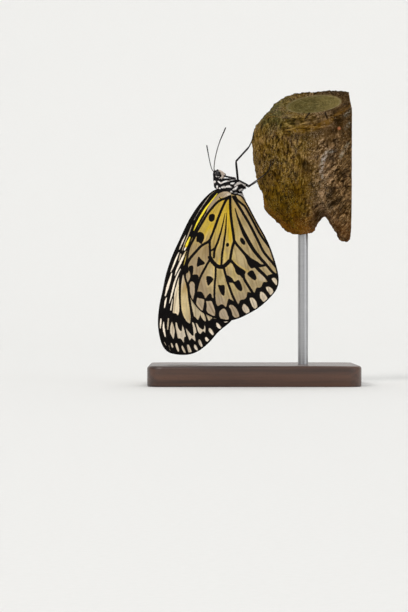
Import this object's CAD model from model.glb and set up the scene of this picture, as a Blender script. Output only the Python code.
import math

import bmesh
import bpy
import numpy as np
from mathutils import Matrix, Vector
from mathutils.bvhtree import BVHTree


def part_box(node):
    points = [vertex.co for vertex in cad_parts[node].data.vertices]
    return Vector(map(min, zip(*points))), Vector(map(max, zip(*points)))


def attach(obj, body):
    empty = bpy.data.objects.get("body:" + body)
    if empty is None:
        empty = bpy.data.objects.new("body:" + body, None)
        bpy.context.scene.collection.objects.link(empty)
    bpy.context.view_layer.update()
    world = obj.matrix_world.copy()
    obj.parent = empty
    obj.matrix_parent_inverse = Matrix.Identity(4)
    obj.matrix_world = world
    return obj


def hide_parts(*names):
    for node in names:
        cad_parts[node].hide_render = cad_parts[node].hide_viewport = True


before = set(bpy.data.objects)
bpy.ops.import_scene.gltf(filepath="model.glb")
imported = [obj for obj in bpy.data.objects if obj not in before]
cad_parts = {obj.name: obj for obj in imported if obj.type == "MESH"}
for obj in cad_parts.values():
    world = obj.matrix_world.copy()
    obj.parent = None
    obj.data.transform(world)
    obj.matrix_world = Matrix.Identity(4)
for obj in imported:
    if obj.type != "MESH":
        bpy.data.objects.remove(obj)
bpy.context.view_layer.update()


# The picture's frame. One picture pixel is the forewing's length over its span in the picture, and
# the animal's middle plane is Y = 0. Places are written as columns and rows of the picture. A level
# camera looks along +Y at the animal's right side and frames those pixels.
MM = 0.001
FOREWING_LENGTH = 68 * MM
FOREWING_PIXELS = 173
PX = FOREWING_LENGTH / FOREWING_PIXELS
MIDDLE_COLUMN = 253.0
FLOOR_ROW = 384.4
PICTURE_WIDE = 408
PICTURE_HIGH = 612
CAMERA_LENS = 135.0
CAMERA_SENSOR = 36.0


def plane(points):
    """Columns and rows as X and Z in metres: a shift and one scale."""
    table = np.asarray(points, dtype=float)
    return np.stack(((table[..., 0] - MIDDLE_COLUMN) * PX, (FLOOR_ROW - table[..., 1]) * PX), -1)


def spot(column, row, y=0.0):
    """One place of the picture in the frame, y metres behind the middle plane."""
    x, z = plane((column, row))
    return np.array((x, y, z))


def put(name, data):
    """A new object at the origin, shown in the scene."""
    thing = bpy.data.objects.new(name, data)
    bpy.context.scene.collection.objects.link(thing)
    return thing


lens = bpy.data.cameras.new("camera")
lens.lens = CAMERA_LENS
lens.sensor_width = CAMERA_SENSOR
lens.clip_start = 0.01
camera = put("camera", lens)
camera_gap = PICTURE_HIGH * PX * CAMERA_LENS / CAMERA_SENSOR
camera.location = spot(PICTURE_WIDE / 2, PICTURE_HIGH / 2, -camera_gap)
camera.rotation_euler = (math.pi / 2, 0, 0)
bpy.context.scene.camera = camera
bpy.context.scene.view_settings.view_transform = "Standard"


# The studio: a pale paper sweep that rises behind the stand and runs far out on its other sides,
# three soft lamps and an even sky. None of it belongs to the object.
SWEEP_HALF_WIDTH = 16.0
SWEEP_NEAR = -16.0
SWEEP_BEND = 0.7
SWEEP_RADIUS = 0.9
SWEEP_TOP = 2.6
LAMP_AIM = (235, 215)
LAMPS = [("key_lamp", (-1.6, -2.6, 2.2), 1.5, 62.0, (1.0, 0.98, 0.95)),
         ("fill_lamp", (2.4, -1.8, 0.9), 2.0, 14.0, (0.96, 0.98, 1.0)),
         ("back_lamp", (0.4, 1.2, 2.4), 1.6, 26.0, (1.0, 1.0, 1.0))]
SKY_COLOUR = (0.97, 0.98, 1.0, 1.0)
SKY_STRENGTH = 0.5


def paint(red, green, blue):
    """A colour given as 0 to 255 on screen, as linear light with alpha."""
    share = np.array((red, green, blue)) / 255.0
    linear = np.where(share <= 0.04045, share / 12.92, ((share + 0.055) / 1.055) ** 2.4)
    return (*linear.tolist(), 1.0)


class Wire:
    """A shader value that takes part in plain arithmetic; each sign adds a Math node."""

    def __init__(self, finish, socket):
        self.finish = finish
        self.socket = socket

    def math(self, operation, first, second):
        """A Math node of two values or wires."""
        return self.finish.node("ShaderNodeMath", {"operation": operation}, {0: first, 1: second})

    def __add__(self, other):
        return self.math("ADD", self, other)

    def __sub__(self, other):
        return self.math("SUBTRACT", self, other)

    def __rsub__(self, other):
        return self.math("SUBTRACT", other, self)

    def __mul__(self, other):
        return self.math("MULTIPLY", self, other)

    __radd__ = __add__
    __rmul__ = __mul__

    def step(self, low, high):
        """0 at low, 1 at high and a soft rise between; high may be the smaller one."""
        return self.finish.node("ShaderNodeMapRange", {"interpolation_type": "SMOOTHSTEP"},
                                {"Value": self, "From Min": low, "From Max": high})


class Finish:
    """One material: a Principled shader and the nodes that feed it."""

    def __init__(self, name, **plain):
        self.material = bpy.data.materials.new(name)
        self.material.use_nodes = True
        self.tree = self.material.node_tree
        self.shader = self.tree.nodes["Principled BSDF"]
        self.feed(**plain)

    def node(self, kind, settings=None, inputs=None, output=0):
        """Any node: its settings first, then the values or wires of its sockets."""
        made = self.tree.nodes.new(kind)
        for key, value in (settings or {}).items():
            setattr(made, key, value)
        for key, value in (inputs or {}).items():
            self.plug(value, made.inputs[key])
        return Wire(self, made.outputs[output])

    def plug(self, value, socket):
        """Links a wire to a socket, or sets the socket's own value."""
        if isinstance(value, Wire):
            self.tree.links.new(value.socket, socket)
        else:
            socket.default_value = value

    def feed(self, **sockets):
        """Values or wires for the Principled shader; underscores stand for spaces."""
        for key, value in sockets.items():
            self.plug(value, self.shader.inputs[key.replace("_", " ")])

    def place(self, scale=(1.0, 1.0, 1.0), turn=(0.0, 0.0, 0.0)):
        """Object coordinates, turned and then stretched."""
        own = self.node("ShaderNodeTexCoord", output="Object")
        turned = self.node("ShaderNodeMapping", None, {"Vector": own, "Rotation": turn})
        return self.node("ShaderNodeMapping", None, {"Vector": turned, "Scale": scale})

    def noise(self, scale, detail=3.0, roughness=0.5, place=None):
        """Cloudy noise from 0 to 1 on Object coordinates, or on the place that is given."""
        return self.node("ShaderNodeTexNoise", None, {
            "Vector": place or self.place(), "Scale": scale, "Detail": detail,
            "Roughness": roughness})

    def cells(self, scale):
        """Distance to the nearest of scattered points."""
        return self.node("ShaderNodeTexVoronoi", {"feature": "F1"},
                         {"Vector": self.place(), "Scale": scale})

    def field(self, name):
        """A value stored on the mesh's points."""
        return self.node("ShaderNodeAttribute", {"attribute_name": name}, output="Fac")

    def mix(self, share, first, second, blend="MIX"):
        """Colour blend: the first at share 0, the second at share 1."""
        return self.node("ShaderNodeMix", {"data_type": "RGBA", "blend_type": blend},
                         {0: share, 6: first, 7: second}, output=2)

    def bump(self, height, distance, strength=1.0):
        """Feeds Normal with the relief of a height, whose full step is the distance in metres."""
        self.feed(Normal=self.node("ShaderNodeBump", None, {
            "Height": height, "Distance": distance, "Strength": strength}))


def grid_faces(rows, columns, closed=False):
    """Quads between the neighbours of a grid of points; closed joins its last column to the first."""
    row, column = np.mgrid[0:rows - 1, 0:columns - (0 if closed else 1)]
    beside = (column + 1) % columns
    corners = (row * columns + column, row * columns + beside,
               (row + 1) * columns + beside, (row + 1) * columns + column)
    return np.stack([corner.ravel() for corner in corners], 1)


def mesh_of(name, points, faces, fields=None):
    """Mesh from arrays of points and quads, with values stored on its points, shaded smooth. A quad
    that names its last corner twice is a triangle."""
    points, faces = np.asarray(points, dtype=np.float32).reshape(-1, 3), np.asarray(faces, dtype=np.int32)
    kept = np.ones(faces.shape, dtype=bool)
    kept[:, -1] = faces[:, -1] != faces[:, -2]
    starts = np.cumsum(kept.sum(1)) - kept.sum(1)
    mesh = bpy.data.meshes.new(name)
    mesh.vertices.add(len(points))
    mesh.vertices.foreach_set("co", points.ravel())
    mesh.loops.add(int(kept.sum()))
    mesh.loops.foreach_set("vertex_index", faces[kept])
    mesh.polygons.add(len(faces))
    mesh.polygons.foreach_set("loop_start", starts.astype(np.int32))
    mesh.update(calc_edges=True)
    for key, values in (fields or {}).items():
        layer = mesh.attributes.new(key, "FLOAT", "POINT")
        layer.data.foreach_set("value", np.asarray(values, dtype=np.float32).ravel())
    mesh.shade_smooth()
    return mesh


def sweep_paper():
    """Floor line, quarter arc and wall line, carried straight along X."""
    turn = np.radians(np.linspace(0, 90, 24))
    y = np.concatenate(([SWEEP_NEAR], SWEEP_BEND + SWEEP_RADIUS * np.sin(turn)))
    z = np.concatenate(([0.0], SWEEP_RADIUS * (1 - np.cos(turn))))
    y, z = np.append(y, y[-1]), np.append(z, SWEEP_TOP)
    x = np.linspace(-SWEEP_HALF_WIDTH, SWEEP_HALF_WIDTH, 3)
    points = np.stack((np.repeat(x, len(y)), np.tile(y, 3), np.tile(z, 3)), 1)
    paper = Finish("studio_paper", Roughness=0.9)
    paper.feed(Base_Color=paper.mix(paper.noise(900.0), paint(228, 228, 225), paint(234, 233, 231)))
    thing = put("studio_sweep", mesh_of("studio_sweep", points, grid_faces(3, len(y))))
    thing.data.materials.append(paper.material)


def lamp(name, place, size, power, colour):
    """A square soft lamp that faces the animal."""
    light = bpy.data.lights.new(name, "AREA")
    light.size = size
    light.energy = power
    light.color = colour
    thing = put(name, light)
    thing.location = place
    toward = Vector(spot(*LAMP_AIM)) - Vector(place)
    thing.rotation_euler = toward.to_track_quat("-Z", "Y").to_euler()


sweep_paper()
for lamp_values in LAMPS:
    lamp(*lamp_values)
sky = bpy.data.worlds.new("studio_light")
sky.use_nodes = True
sky.node_tree.nodes["Background"].inputs["Color"].default_value = SKY_COLOUR
sky.node_tree.nodes["Background"].inputs["Strength"].default_value = SKY_STRENGTH
bpy.context.scene.world = sky


# The stand's base: a slab of dark hardwood with round corners, its top edge rounded over and the
# whole varnished satin. It lies flat on the table.
base_low, base_high = (np.array(corner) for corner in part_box("stand_base"))
BASE_CORNER = 6 * MM
BASE_EDGE = 1.2 * MM
BASE_FOOT = 0.4 * MM
BASE_CORNER_STEPS = 13
BASE_FACE_RINGS = 20


def add_piece(name, points, faces, finish, slot, nodes, fields=None, crease=None):
    """Object of welded points with faces turned outward, which stands for CAD nodes."""
    mesh = mesh_of(name, points, faces, fields)
    body = bmesh.new()
    body.from_mesh(mesh)
    bmesh.ops.remove_doubles(body, verts=body.verts, dist=1e-8)
    bmesh.ops.recalc_face_normals(body, faces=body.faces)
    body.to_mesh(mesh)
    body.free()
    if crease:
        mesh.set_sharp_from_angle(angle=math.radians(crease))
    mesh.materials.append(finish.material)
    thing = put(name, mesh)
    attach(thing, "root")
    if nodes:
        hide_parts(*nodes)
    return thing


def base_slab():
    """Rounded rectangle carried up an edge profile: a small foot bevel, the wall, a quarter round."""
    turn = np.radians(np.concatenate([np.linspace(90 * k, 90 * k + 90, BASE_CORNER_STEPS)
                                      for k in range(4)]))
    side = np.repeat([(1, 1), (-1, 1), (-1, -1), (1, -1)], BASE_CORNER_STEPS, axis=0)
    middle = (base_low + base_high)[:2] / 2
    half = (base_high - base_low)[:2] / 2 - BASE_CORNER
    over = np.radians(np.linspace(0, 90, 9))
    inset = np.concatenate(([BASE_FOOT, 0.0], BASE_EDGE * (1 - np.cos(over))))
    height = np.concatenate(([0.0, BASE_FOOT], base_high[2] - BASE_EDGE * (1 - np.sin(over))))
    out = np.stack((np.cos(turn), np.sin(turn)), 1)
    rings = middle + side * half + out * (BASE_CORNER - inset)[:, None, None]
    shrink = np.linspace(0, 0.95, BASE_FACE_RINGS)[:, None, None]
    rings = np.concatenate((middle + (rings[:1] - middle) * shrink, rings,
                            middle + (rings[-1:] - middle) * shrink[::-1]))
    height = np.pad(height, BASE_FACE_RINGS, mode="edge")
    points = np.concatenate((rings, np.broadcast_to(height[:, None, None], (*rings.shape[:2], 1))), 2)
    return points, grid_faces(*points.shape[:2], closed=True)


def base_varnish():
    """Growth rings cut lengthwise, as uneven streaks along X, with dark pores under a satin varnish."""
    wood = Finish("dark_hardwood", Coat_Weight=0.4, Coat_Roughness=0.22)
    warp = wood.noise(14.0, 2.0, 0.5) * 0.35
    bands = wood.noise(1.0, 5.0, 0.62, wood.place((11.0, 340.0, 340.0)))
    broad = wood.noise(1.0, 2.0, 0.5, wood.place((5.0, 70.0, 70.0)))
    bands = (bands * 0.65 + broad * 0.35 + warp * 0.2).step(0.42, 0.66)
    pores = wood.noise(60.0, 3.0, 0.6, wood.place((9.0, 230.0, 230.0)))
    tone = wood.mix(bands, paint(52, 32, 22), paint(86, 54, 36))
    tone = wood.mix(pores.step(0.58, 0.72) * 0.7, tone, paint(26, 15, 11))
    wood.feed(Base_Color=tone, Roughness=0.36 + pores * 0.14)
    wood.bump(pores, 0.05 * MM, 0.6)
    return wood


add_piece("stand_base_wood", *base_slab(), base_varnish(), "base_wood", ["stand_base"])


# The stand's rod: brushed round steel, glued into the base below and driven into a hole bored up
# into the branch.
rod_low, rod_high = (np.array(corner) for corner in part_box("stand_rod"))
ROD_BEVEL = 0.3 * MM
ROD_RINGS = 24
ROD_SIDES = 40


def turned(profile, sides):
    """Lathe form: radius and height pairs, turned about a vertical axis through the origin."""
    angle = np.linspace(0, 2 * math.pi, sides, endpoint=False)
    radius, height = np.asarray(profile, dtype=float).T[..., None]
    points = np.stack((radius * np.cos(angle), radius * np.sin(angle), height + 0 * angle), -1)
    return points, grid_faces(len(profile), sides, closed=True)


def brushed_steel():
    """Steel with fine rings round the rod left by the polishing belt."""
    steel = Finish("brushed_steel", Metallic=1.0)
    rings = steel.noise(40.0, 2.0, 0.6, steel.place((6.0, 6.0, 260.0)))
    steel.feed(Base_Color=steel.mix(rings, paint(168, 168, 170), paint(198, 198, 198)),
               Roughness=0.26 + rings * 0.16)
    steel.bump(rings, 0.02 * MM, 0.5)
    return steel


rod_radius = (rod_high - rod_low)[0] / 2
rod_steps = np.linspace(rod_low[2] + ROD_BEVEL, rod_high[2] - ROD_BEVEL, ROD_RINGS)
rod_profile = [(0, rod_low[2]), (rod_radius - ROD_BEVEL, rod_low[2])]
rod_profile += [(rod_radius, step) for step in rod_steps]
rod_profile += [(rod_radius - ROD_BEVEL, rod_high[2]), (0, rod_high[2])]
rod_points, rod_faces = turned(rod_profile, ROD_SIDES)
rod_points[..., :2] += (rod_low + rod_high)[:2] / 2
add_piece("stand_rod_steel", rod_points, rod_faces, brushed_steel(), "steel", ["stand_rod"], crease=40)


# The perch: the rounded stub of a pruned branch, of stringy, furrowed and pitted bark. A lip of bark
# has grown round the old saw cut on top, and a fresh upright cut parts the stub from the tree. Widths
# of marks are in px, as their places are.
PERCH_CENTRE = (300.0, 165.0)
PERCH_HALF_DEPTH = 16 * MM
PERCH_OUTLINE = [
    (253.6, 147.2), (254.3, 136.4), (258.4, 126.4), (266.5, 115.8), (276, 104), (284, 93.5),
    (297, 81), (320, 79), (345, 82), (358, 96), (364, 120), (366, 160), (362, 205), (357, 229),
    (350, 239), (343, 240.5), (336, 229), (330, 222), (324.6, 216.3), (318.1, 223.1), (312.6, 233),
    (302.9, 234), (294.2, 232.9), (283.4, 227.4), (272.5, 216.5), (266, 209), (263.9, 194),
    (256.3, 176.5), (254.4, 161.3)]
END_CUT_COLUMN = 350.0
END_CUT_HEART_ROW = 168
CUT_EDGE = 0.15 * MM
SAW_CUT_MIDDLE = (313.7, 104.4)
SAW_CUT_RISE = 0.12
SAW_CUT_LEAN = 0.39
SAW_CUT_RADII = (26.5 * PX, 10.2 * MM)
LIP_LOW = 0.15 * MM
LIP_HIGH = 1.75 * MM
LIP_TOWARDS = math.radians(95)
LIP_STEP = 0.16
CHECK_DEPTH = 0.5 * MM
SAWN_GRAIN = 0.16 * MM
BARK_ROWS = 220
BARK_COLUMNS = 400
BARK_LUMP = 0.35 * MM
COLLAR_HALF_SIZE = (27.0, 9.5)
COLLAR_LEAN = 0.2
COLLAR_START = (277.0, 290.0)
KNOTS = [(305.0, 165.0, 2.7, 0.9), (337.0, 141.0, 3.0, 0.5)]
NOTCH = (324.6, 216.3)
DRYING_CRACKS = [[(309.3, 113.2), (307.6, 115.6), (305.0, 118.8)],
                 [(325.2, 112.8), (326.4, 116.0), (327.6, 119.4)]]
CRACK_WIDTHS = (1.9, 1.3)
GOLDEN_FOLD = [(284, 132), (294, 130.6), (305, 129.2), (316, 127), (328, 121.4), (339, 114), (352, 103)]
GOLDEN_FOLD_WIDTHS = (1.0, 4.5, 6.0, 6.0, 4.5, 1.0)
LICHEN = [([(345, 116), (352, 110), (364, 104)], (2.0, 6.0, 6.0)),
          ([(340.5, 157), (344, 150), (348, 143)], 3.2),
          ([(335.5, 150.5), (327.5, 152.5), (322.5, 161), (321.5, 172), (323, 178)],
           (2.0, 4.0, 5.0, 4.2, 1.5)),
          ([(346, 128), (350, 123)], 3.0)]
STAINS = [([(292, 138), (306, 136.5), (320, 132.5)], 5.0), ([(304, 163), (306, 168)], 7.0),
          ([(328, 160), (332, 152)], 5.0), ([(313, 224), (319, 213)], 7.0), ([(284, 201), (288, 208)], 3.0),
          ([(339, 176), (348, 170)], 3.0), ([(330, 207), (341, 198)], 3.5), ([(336, 122), (346, 114)], 3.5),
          ([(291, 121), (305, 120.5), (318, 119)], 2.0), ([(294, 92.6), (318, 90.4), (346, 90.2)], 2.6)]
HEM = [(262, 196), (266.5, 207), (275, 216.5), (286, 226), (296, 231.5), (308, 232.5)]
HEM_WIDTHS = (2.0, 4.0, 4.5, 4.0, 2.0)
SCAR = (339.2, 128.3)
SCAR_RADIUS = 1.5


def flow(points, count, closed=False):
    """Catmull-Rom curve through the points, resampled to places evenly spaced along it."""
    knots = np.asarray(points, dtype=float)
    if closed:
        padded = np.vstack((knots[-1:], knots, knots[:2]))
    else:
        padded = np.vstack((2 * knots[0] - knots[1], knots, 2 * knots[-1] - knots[-2]))
    before, start, end, after = (padded[i:len(padded) - 3 + i, None] for i in range(4))
    t = np.linspace(0, 1, 24, endpoint=False)[:, None]
    fine = 0.5 * (2 * start + (end - before) * t + (2 * before - 5 * start + 4 * end - after) * t ** 2
                  + (3 * start - before - 3 * end + after) * t ** 3).reshape(-1, knots.shape[1])
    fine = np.vstack((fine, fine[:1] if closed else knots[-1:]))
    return evenly(fine, count, closed)


def evenly(line, count, closed=False):
    """Places evenly spaced along a line of points."""
    length = np.concatenate(([0], np.cumsum(np.linalg.norm(np.diff(line, axis=0), axis=1))))
    marks = np.linspace(0, length[-1], count, endpoint=not closed)
    return np.stack([np.interp(marks, length, column) for column in line.T], 1)


def ease(values, low, high):
    """0 at low, 1 at high, with a soft start and end."""
    share = np.clip((values - low) / (high - low), 0, 1)
    return share * share * (3 - 2 * share)


def scramble(key):
    """Whole numbers turned into even random shares from 0 to 1."""
    key = key & 0xFFFFFFFF
    key = ((key ^ (key >> 15)) * 0x2C1B3C6D) & 0xFFFFFFFF
    key = ((key ^ (key >> 12)) * 0x297A2D39) & 0xFFFFFFFF
    return (key ^ (key >> 15)) / 2.0 ** 32


def lattice(cells, seed):
    """One whole number for each cell of a three-way lattice."""
    return cells @ np.array((73856093, 19349663, 83492791)) + seed * 26544357


def rough(places, seed):
    """Smooth noise from -1 to 1: each lattice corner has a random value, and between them it eases."""
    cell = np.floor(places).astype(np.int64)
    share = ease(places - cell, 0, 1)
    total = 0
    for corner in np.ndindex(2, 2, 2):
        weight = np.where(corner, share, 1 - share).prod(-1)
        total = total + weight * scramble(lattice(cell + corner, seed))
    return 2 * total - 1


def pits(places, seed):
    """Distance to the nearest of the random points, one of which sits in each lattice cell."""
    cell = np.floor(places).astype(np.int64)
    nearest = np.full(places.shape[:-1], 9.0)
    for corner in np.ndindex(3, 3, 3):
        other = cell + corner - 1
        jitter = np.stack([scramble(lattice(other, seed + k)) for k in range(3)], -1)
        nearest = np.minimum(nearest, np.linalg.norm(other + jitter - places, axis=-1))
    return nearest


def away_from(line, places):
    """Distance from each place to an open line of points, and the share of the way along it."""
    start, step = line[:-1], np.diff(line, axis=0)
    there = places[:, None] - start
    along = np.clip((there * step).sum(2) / (step ** 2).sum(1), 0, 1)
    gap = np.linalg.norm(there - along[..., None] * step, axis=2)
    nearest = gap.argmin(1)
    rows = np.arange(len(places))
    return gap[rows, nearest], (nearest + along[rows, nearest]) / len(step)


def near(places, line, reach=6.0):
    """Which places lie in a line's box, widened by the reach in px, and a first depth for all."""
    beside = ((places > line.min(0) - reach) & (places < line.max(0) + reach)).all(1)
    return beside, np.full(len(places), -reach)


def stroke(places, points, widths):
    """How deep a place lies in a brush line, in px: half its width there less the distance to it."""
    line = flow(points, 5 * len(points))
    beside, depth = near(places, line)
    gap, share = away_from(line, places[beside])
    widths = np.atleast_1d(widths)
    depth[beside] = np.interp(share, np.linspace(0, 1, len(widths)), widths) / 2 - gap
    return depth


def saw_cut(x, y):
    """Round share of the way out from the cut's middle, and the direction there, seen from above."""
    u = (x - spot(*SAW_CUT_MIDDLE)[0]) / SAW_CUT_RADII[0]
    v = y / SAW_CUT_RADII[1]
    return np.hypot(u, v), np.arctan2(v, u)


def saw_cut_height(x, y):
    """Highest the stub may reach: the sawn plane with its drying checks, and the lip round it."""
    cut_x, _, cut_z = spot(*SAW_CUT_MIDDLE)
    share, turn = saw_cut(x, y)
    facing = np.clip(np.cos(turn - LIP_TOWARDS), 0, 1) ** 0.8
    lip = (LIP_LOW + (LIP_HIGH - LIP_LOW) * facing) * ease(share, 1, 1 + LIP_STEP)
    spoke = np.abs(np.sin(3.5 * turn + 0.35 * np.sin(9 * share) + 0.5))
    check = CHECK_DEPTH * ease(spoke * share, 0.05, 0.0) * ease(share, 0.12, 0.4)
    grain = SAWN_GRAIN * ease(share, 1.03, 1.15)
    grain = grain * (rough(np.stack((x, y, 0 * x), -1) / (1.0 * MM), 51)
                     + rough(np.stack((x, y, 0 * x), -1) / (0.5 * MM), 52))
    return cut_z + SAW_CUT_RISE * (x - cut_x) + SAW_CUT_LEAN * y + lip + grain - check * (share < 1.25)


def seen(points):
    """Columns and rows at which the camera sees points: what lies nearer to it looks larger."""
    grow = camera.location.y / (camera.location.y - points[..., 1])
    column, row = points[..., 0] / PX + MIDDLE_COLUMN, FLOOR_ROW - points[..., 2] / PX
    middle_column, middle_row = PICTURE_WIDE / 2, PICTURE_HIGH / 2
    return middle_column + (column - middle_column) * grow, middle_row + (row - middle_row) * grow


def bark_relief(points):
    """Height of the bark in mm: strings along a grain that leans at the right, with slow lumps and
    grit, then pits, warts, slanting furrows, a fold, a gully and knots, each a bell or a soft step."""
    x, y, z = np.moveaxis(points, -1, 0) / MM
    centre = spot(*PERCH_CENTRE) / MM
    column, row = seen(points)
    lean = math.radians(46) * ease(column, 290, 345) * ease(row, 118, 165)
    along = (z - centre[2]) * np.cos(lean) + (x - centre[0]) * np.sin(lean)
    across = (x - centre[0]) * np.cos(lean) - (z - centre[2]) * np.sin(lean)
    wander = 0.9 * rough(points / (5 * MM), 3)
    strings = np.stack(((across + wander) / 1.25, y / 1.25, along / 5.5), -1)
    threads = np.stack(((across + wander) / 0.55, y / 0.55, along / 2.2), -1)
    relief = 0.50 * (0.5 - np.abs(rough(strings, 11))) + 0.30 * rough(threads, 12)
    relief += 0.42 * rough(points / (4.6 * MM), 13) + 0.20 * rough(points / (0.7 * MM), 14)
    # pits and warts
    blur = 0.5 * np.stack([rough(points / (1.3 * MM), seed) for seed in (61, 62, 63)], -1)
    holes = pits(points / (5.0 * MM) + blur * 0.4, 20)
    relief -= 0.45 * ease(holes, 0.26, 0.08)
    warts = pits(points / (1.9 * MM) + blur * 0.5, 40)
    relief += 0.22 * ease(warts, 0.40, 0.05)
    # slanting furrows, then the fold across the near side and the gully below it
    front = ease(y, 4, -4)
    slant = np.stack(((across + 2 * wander) / 2.3, y / 3.0, along / 12.0), -1)
    relief += (0.25 + 0.45 * ease(column, 300, 330)) * (0.45 - np.abs(rough(slant, 15)))
    fold = row - 132 + 0.20 * (column - 285) + 0.0032 * (column - 285) ** 2
    fold_ends = ease(column, 280, 292) * ease(column, 346, 326) * front
    relief += fold_ends * (0.60 * np.exp(-((fold + 3) / 3.6) ** 2) - 0.28 * np.exp(-((fold - 4) / 3.4) ** 2))
    gully = column - 324 - (216 - row) * 0.42 + 2.0 * np.sin(row / 9)
    relief -= 0.45 * np.exp(-(gully / 6.5) ** 2) * ease(row, 150, 200)
    for knot_column, knot_row, size, deep in KNOTS:
        ring = np.hypot(column - knot_column, (row - knot_row) * 0.75) / size + blur[..., 0] * 0.7
        relief += deep * (0.25 * np.exp(-((ring - 1.5) / 0.5) ** 2) - np.exp(-(ring / 0.9) ** 2)) * front
    notch = np.hypot(column - NOTCH[0], row - NOTCH[1])
    return relief * (0.25 + 0.75 * ease(notch, 3, 14))


def bark_stub():
    """Outline in the picture's plane, swelled to a blunt round depth; relief, then both saw cuts. Each
    point stores how far it lies in the marks, and in the collar whose fibres run round the top cut."""
    centre = spot(*PERCH_CENTRE)
    rim = plane(flow(PERCH_OUTLINE, BARK_COLUMNS, closed=True)) - centre[[0, 2]]
    theta = np.arctan2(rim[:, 1], rim[:, 0])
    blunt = 2.25 + np.clip(np.sin(theta), 0, 1) ** 2
    level = np.sin(np.linspace(-math.pi / 2, math.pi / 2, BARK_ROWS))[:, None]
    tilt = np.sign(level) * np.arcsin(np.abs(level) ** (blunt / 2))
    shrink = np.cos(tilt) ** (2 / blunt)
    swell = (0.45 * np.sin(3 * theta + 2 * tilt + 0.6) + 0.35 * np.sin(5 * theta - 3 * tilt + 1.9)
             + 0.35 * np.sin(8 * theta + 5 * tilt + 4.1) + 0.25 * np.sin(11 * theta - 4 * tilt))
    grow = shrink * (1 + BARK_LUMP * swell / np.linalg.norm(rim, axis=1))
    points = np.stack((centre[0] + rim[:, 0] * grow, PERCH_HALF_DEPTH * level + 0 * grow,
                       centre[2] + rim[:, 1] * grow), -1)
    round_x = np.roll(points, -1, 1) - np.roll(points, 1, 1)
    normal = np.cross(np.gradient(points, axis=0), round_x)
    normal[[0, -1]] = (0, 1, 0)
    normal[0] *= -1
    length = np.linalg.norm(normal, axis=-1, keepdims=True)
    normal /= np.maximum(length, 1e-15)
    outward = np.sign((normal * (points - centre)).sum(-1, keepdims=True))
    relief = bark_relief(points)
    relief[[0, -1]] = relief[[0, -1]].mean(1, keepdims=True)
    points = points + normal * outward * relief[..., None] * MM * ease(shrink, 0.0, 0.1)[..., None]
    x, y, z = np.moveaxis(points, -1, 0)
    end_x = spot(END_CUT_COLUMN, 0)[0]
    top = saw_cut_height(np.minimum(x, end_x), y)
    on_end = ease(x - end_x, 0.0, CUT_EDGE)
    x = np.minimum(x, end_x)
    share, _ = saw_cut(x, y)
    on_top = ease(z - top, 0.0, CUT_EDGE) * ease(share, 1.07, 1.01)
    z = np.minimum(z, top)
    places = np.stack(seen(np.stack((x, y, z), -1)), -1).reshape(-1, 2)
    depth = y.ravel()
    front = depth < 0
    cracks = np.max([stroke(places, line, CRACK_WIDTHS) for line in DRYING_CRACKS], axis=0)
    fold = stroke(places, GOLDEN_FOLD, GOLDEN_FOLD_WIDTHS)
    marks = {key: np.max([stroke(places, line, width) for line, width in lines], axis=0)
             for key, lines in (("lichen", LICHEN), ("stain", STAINS))}
    scar = SCAR_RADIUS - np.hypot(*(places - SCAR).T)
    beside, below = (places - SAW_CUT_MIDDLE).T
    below = (below + COLLAR_LEAN * beside) / COLLAR_HALF_SIZE[1]
    beside = beside / COLLAR_HALF_SIZE[0]
    ring = np.hypot(beside, below)
    collar = ease(ring, 1.0, 1.2) * ease(ring, 3.5, 2.5) * ease(depth, 2 * MM, -2 * MM)
    collar *= ease(places[:, 0], *COLLAR_START)
    fields = {"relief": relief, "sawn": on_top, "end_cut": on_end, "crack": np.where(front, cracks, -6.0),
              "fold": ease(fold, -1.6, 1.4) * front, "rim": share * (on_top > 0), "ring": ring,
              "turn": beside / np.maximum(ring, 0.1), "collar": collar,
              "hem": ease(stroke(places, HEM, HEM_WIDTHS), -1.5, 1.0),
              "lichen": ease(marks["lichen"], -1.5, 1.2) * front,
              "stain": ease(marks["stain"], -3.0, 2.0), "scar": ease(scar, -0.5, 0.5) * front}
    return np.stack((x, y, z), -1), grid_faces(BARK_ROWS, BARK_COLUMNS, closed=True), fields


def at_columns(x, start, end):
    """Share of a wire that holds x: 0 at one column of the picture, 1 at the other, soft between."""
    return x.step(spot(start, 0)[0], spot(end, 0)[0])


def at_rows(z, start, end):
    """The same for a wire that holds z, between two rows."""
    return z.step(spot(0, start)[2], spot(0, end)[2])


def weathered_wood(bark, beside, clumps):
    """The old saw cut: brown rings, dark and pale fibres along it, and arcs that follow its rim."""
    rings = bark.node("ShaderNodeTexWave", {"wave_type": "RINGS", "rings_direction": "SPHERICAL"}, {
        "Vector": bark.node("ShaderNodeMapping", None, {
            "Vector": bark.place(), "Location": tuple(-spot(*SAW_CUT_MIDDLE))}),
        "Scale": 330.0, "Distortion": 3.0, "Detail": 3.0, "Detail Scale": 0.35})
    wood = bark.mix(rings * 0.7, paint(88, 77, 36), paint(116, 102, 54))
    wood = bark.mix(clumps.step(0.42, 0.60) * 0.55, wood, paint(74, 68, 30))
    wood = bark.mix(at_columns(beside, 312, 336) * 0.40, wood, paint(150, 132, 78))
    fibre = bark.noise(1.0, 4.0, 0.65, bark.place((520.0, 1700.0, 1700.0)))
    wood = bark.mix(fibre.step(0.5, 0.62) * 0.42, wood, paint(44, 36, 14))
    wood = bark.mix(fibre.step(0.46, 0.36) * 0.30, wood, paint(160, 144, 96))
    arcs = bark.noise(1.0, 4.0, 0.65, bark.node("ShaderNodeCombineXYZ", None, {
        0: bark.field("rim") * 11.0 + clumps * 3.0, 1: beside * 520.0, 2: 0.0}))
    wood = bark.mix(arcs.step(0.52, 0.62) * 0.55, wood, paint(52, 43, 17))
    wood = bark.mix(arcs.step(0.45, 0.36) * 0.34, wood, paint(156, 142, 98))
    return bark.mix(bark.field("rim").step(0.955, 0.99) * 0.35, wood, paint(152, 136, 98))


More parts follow.
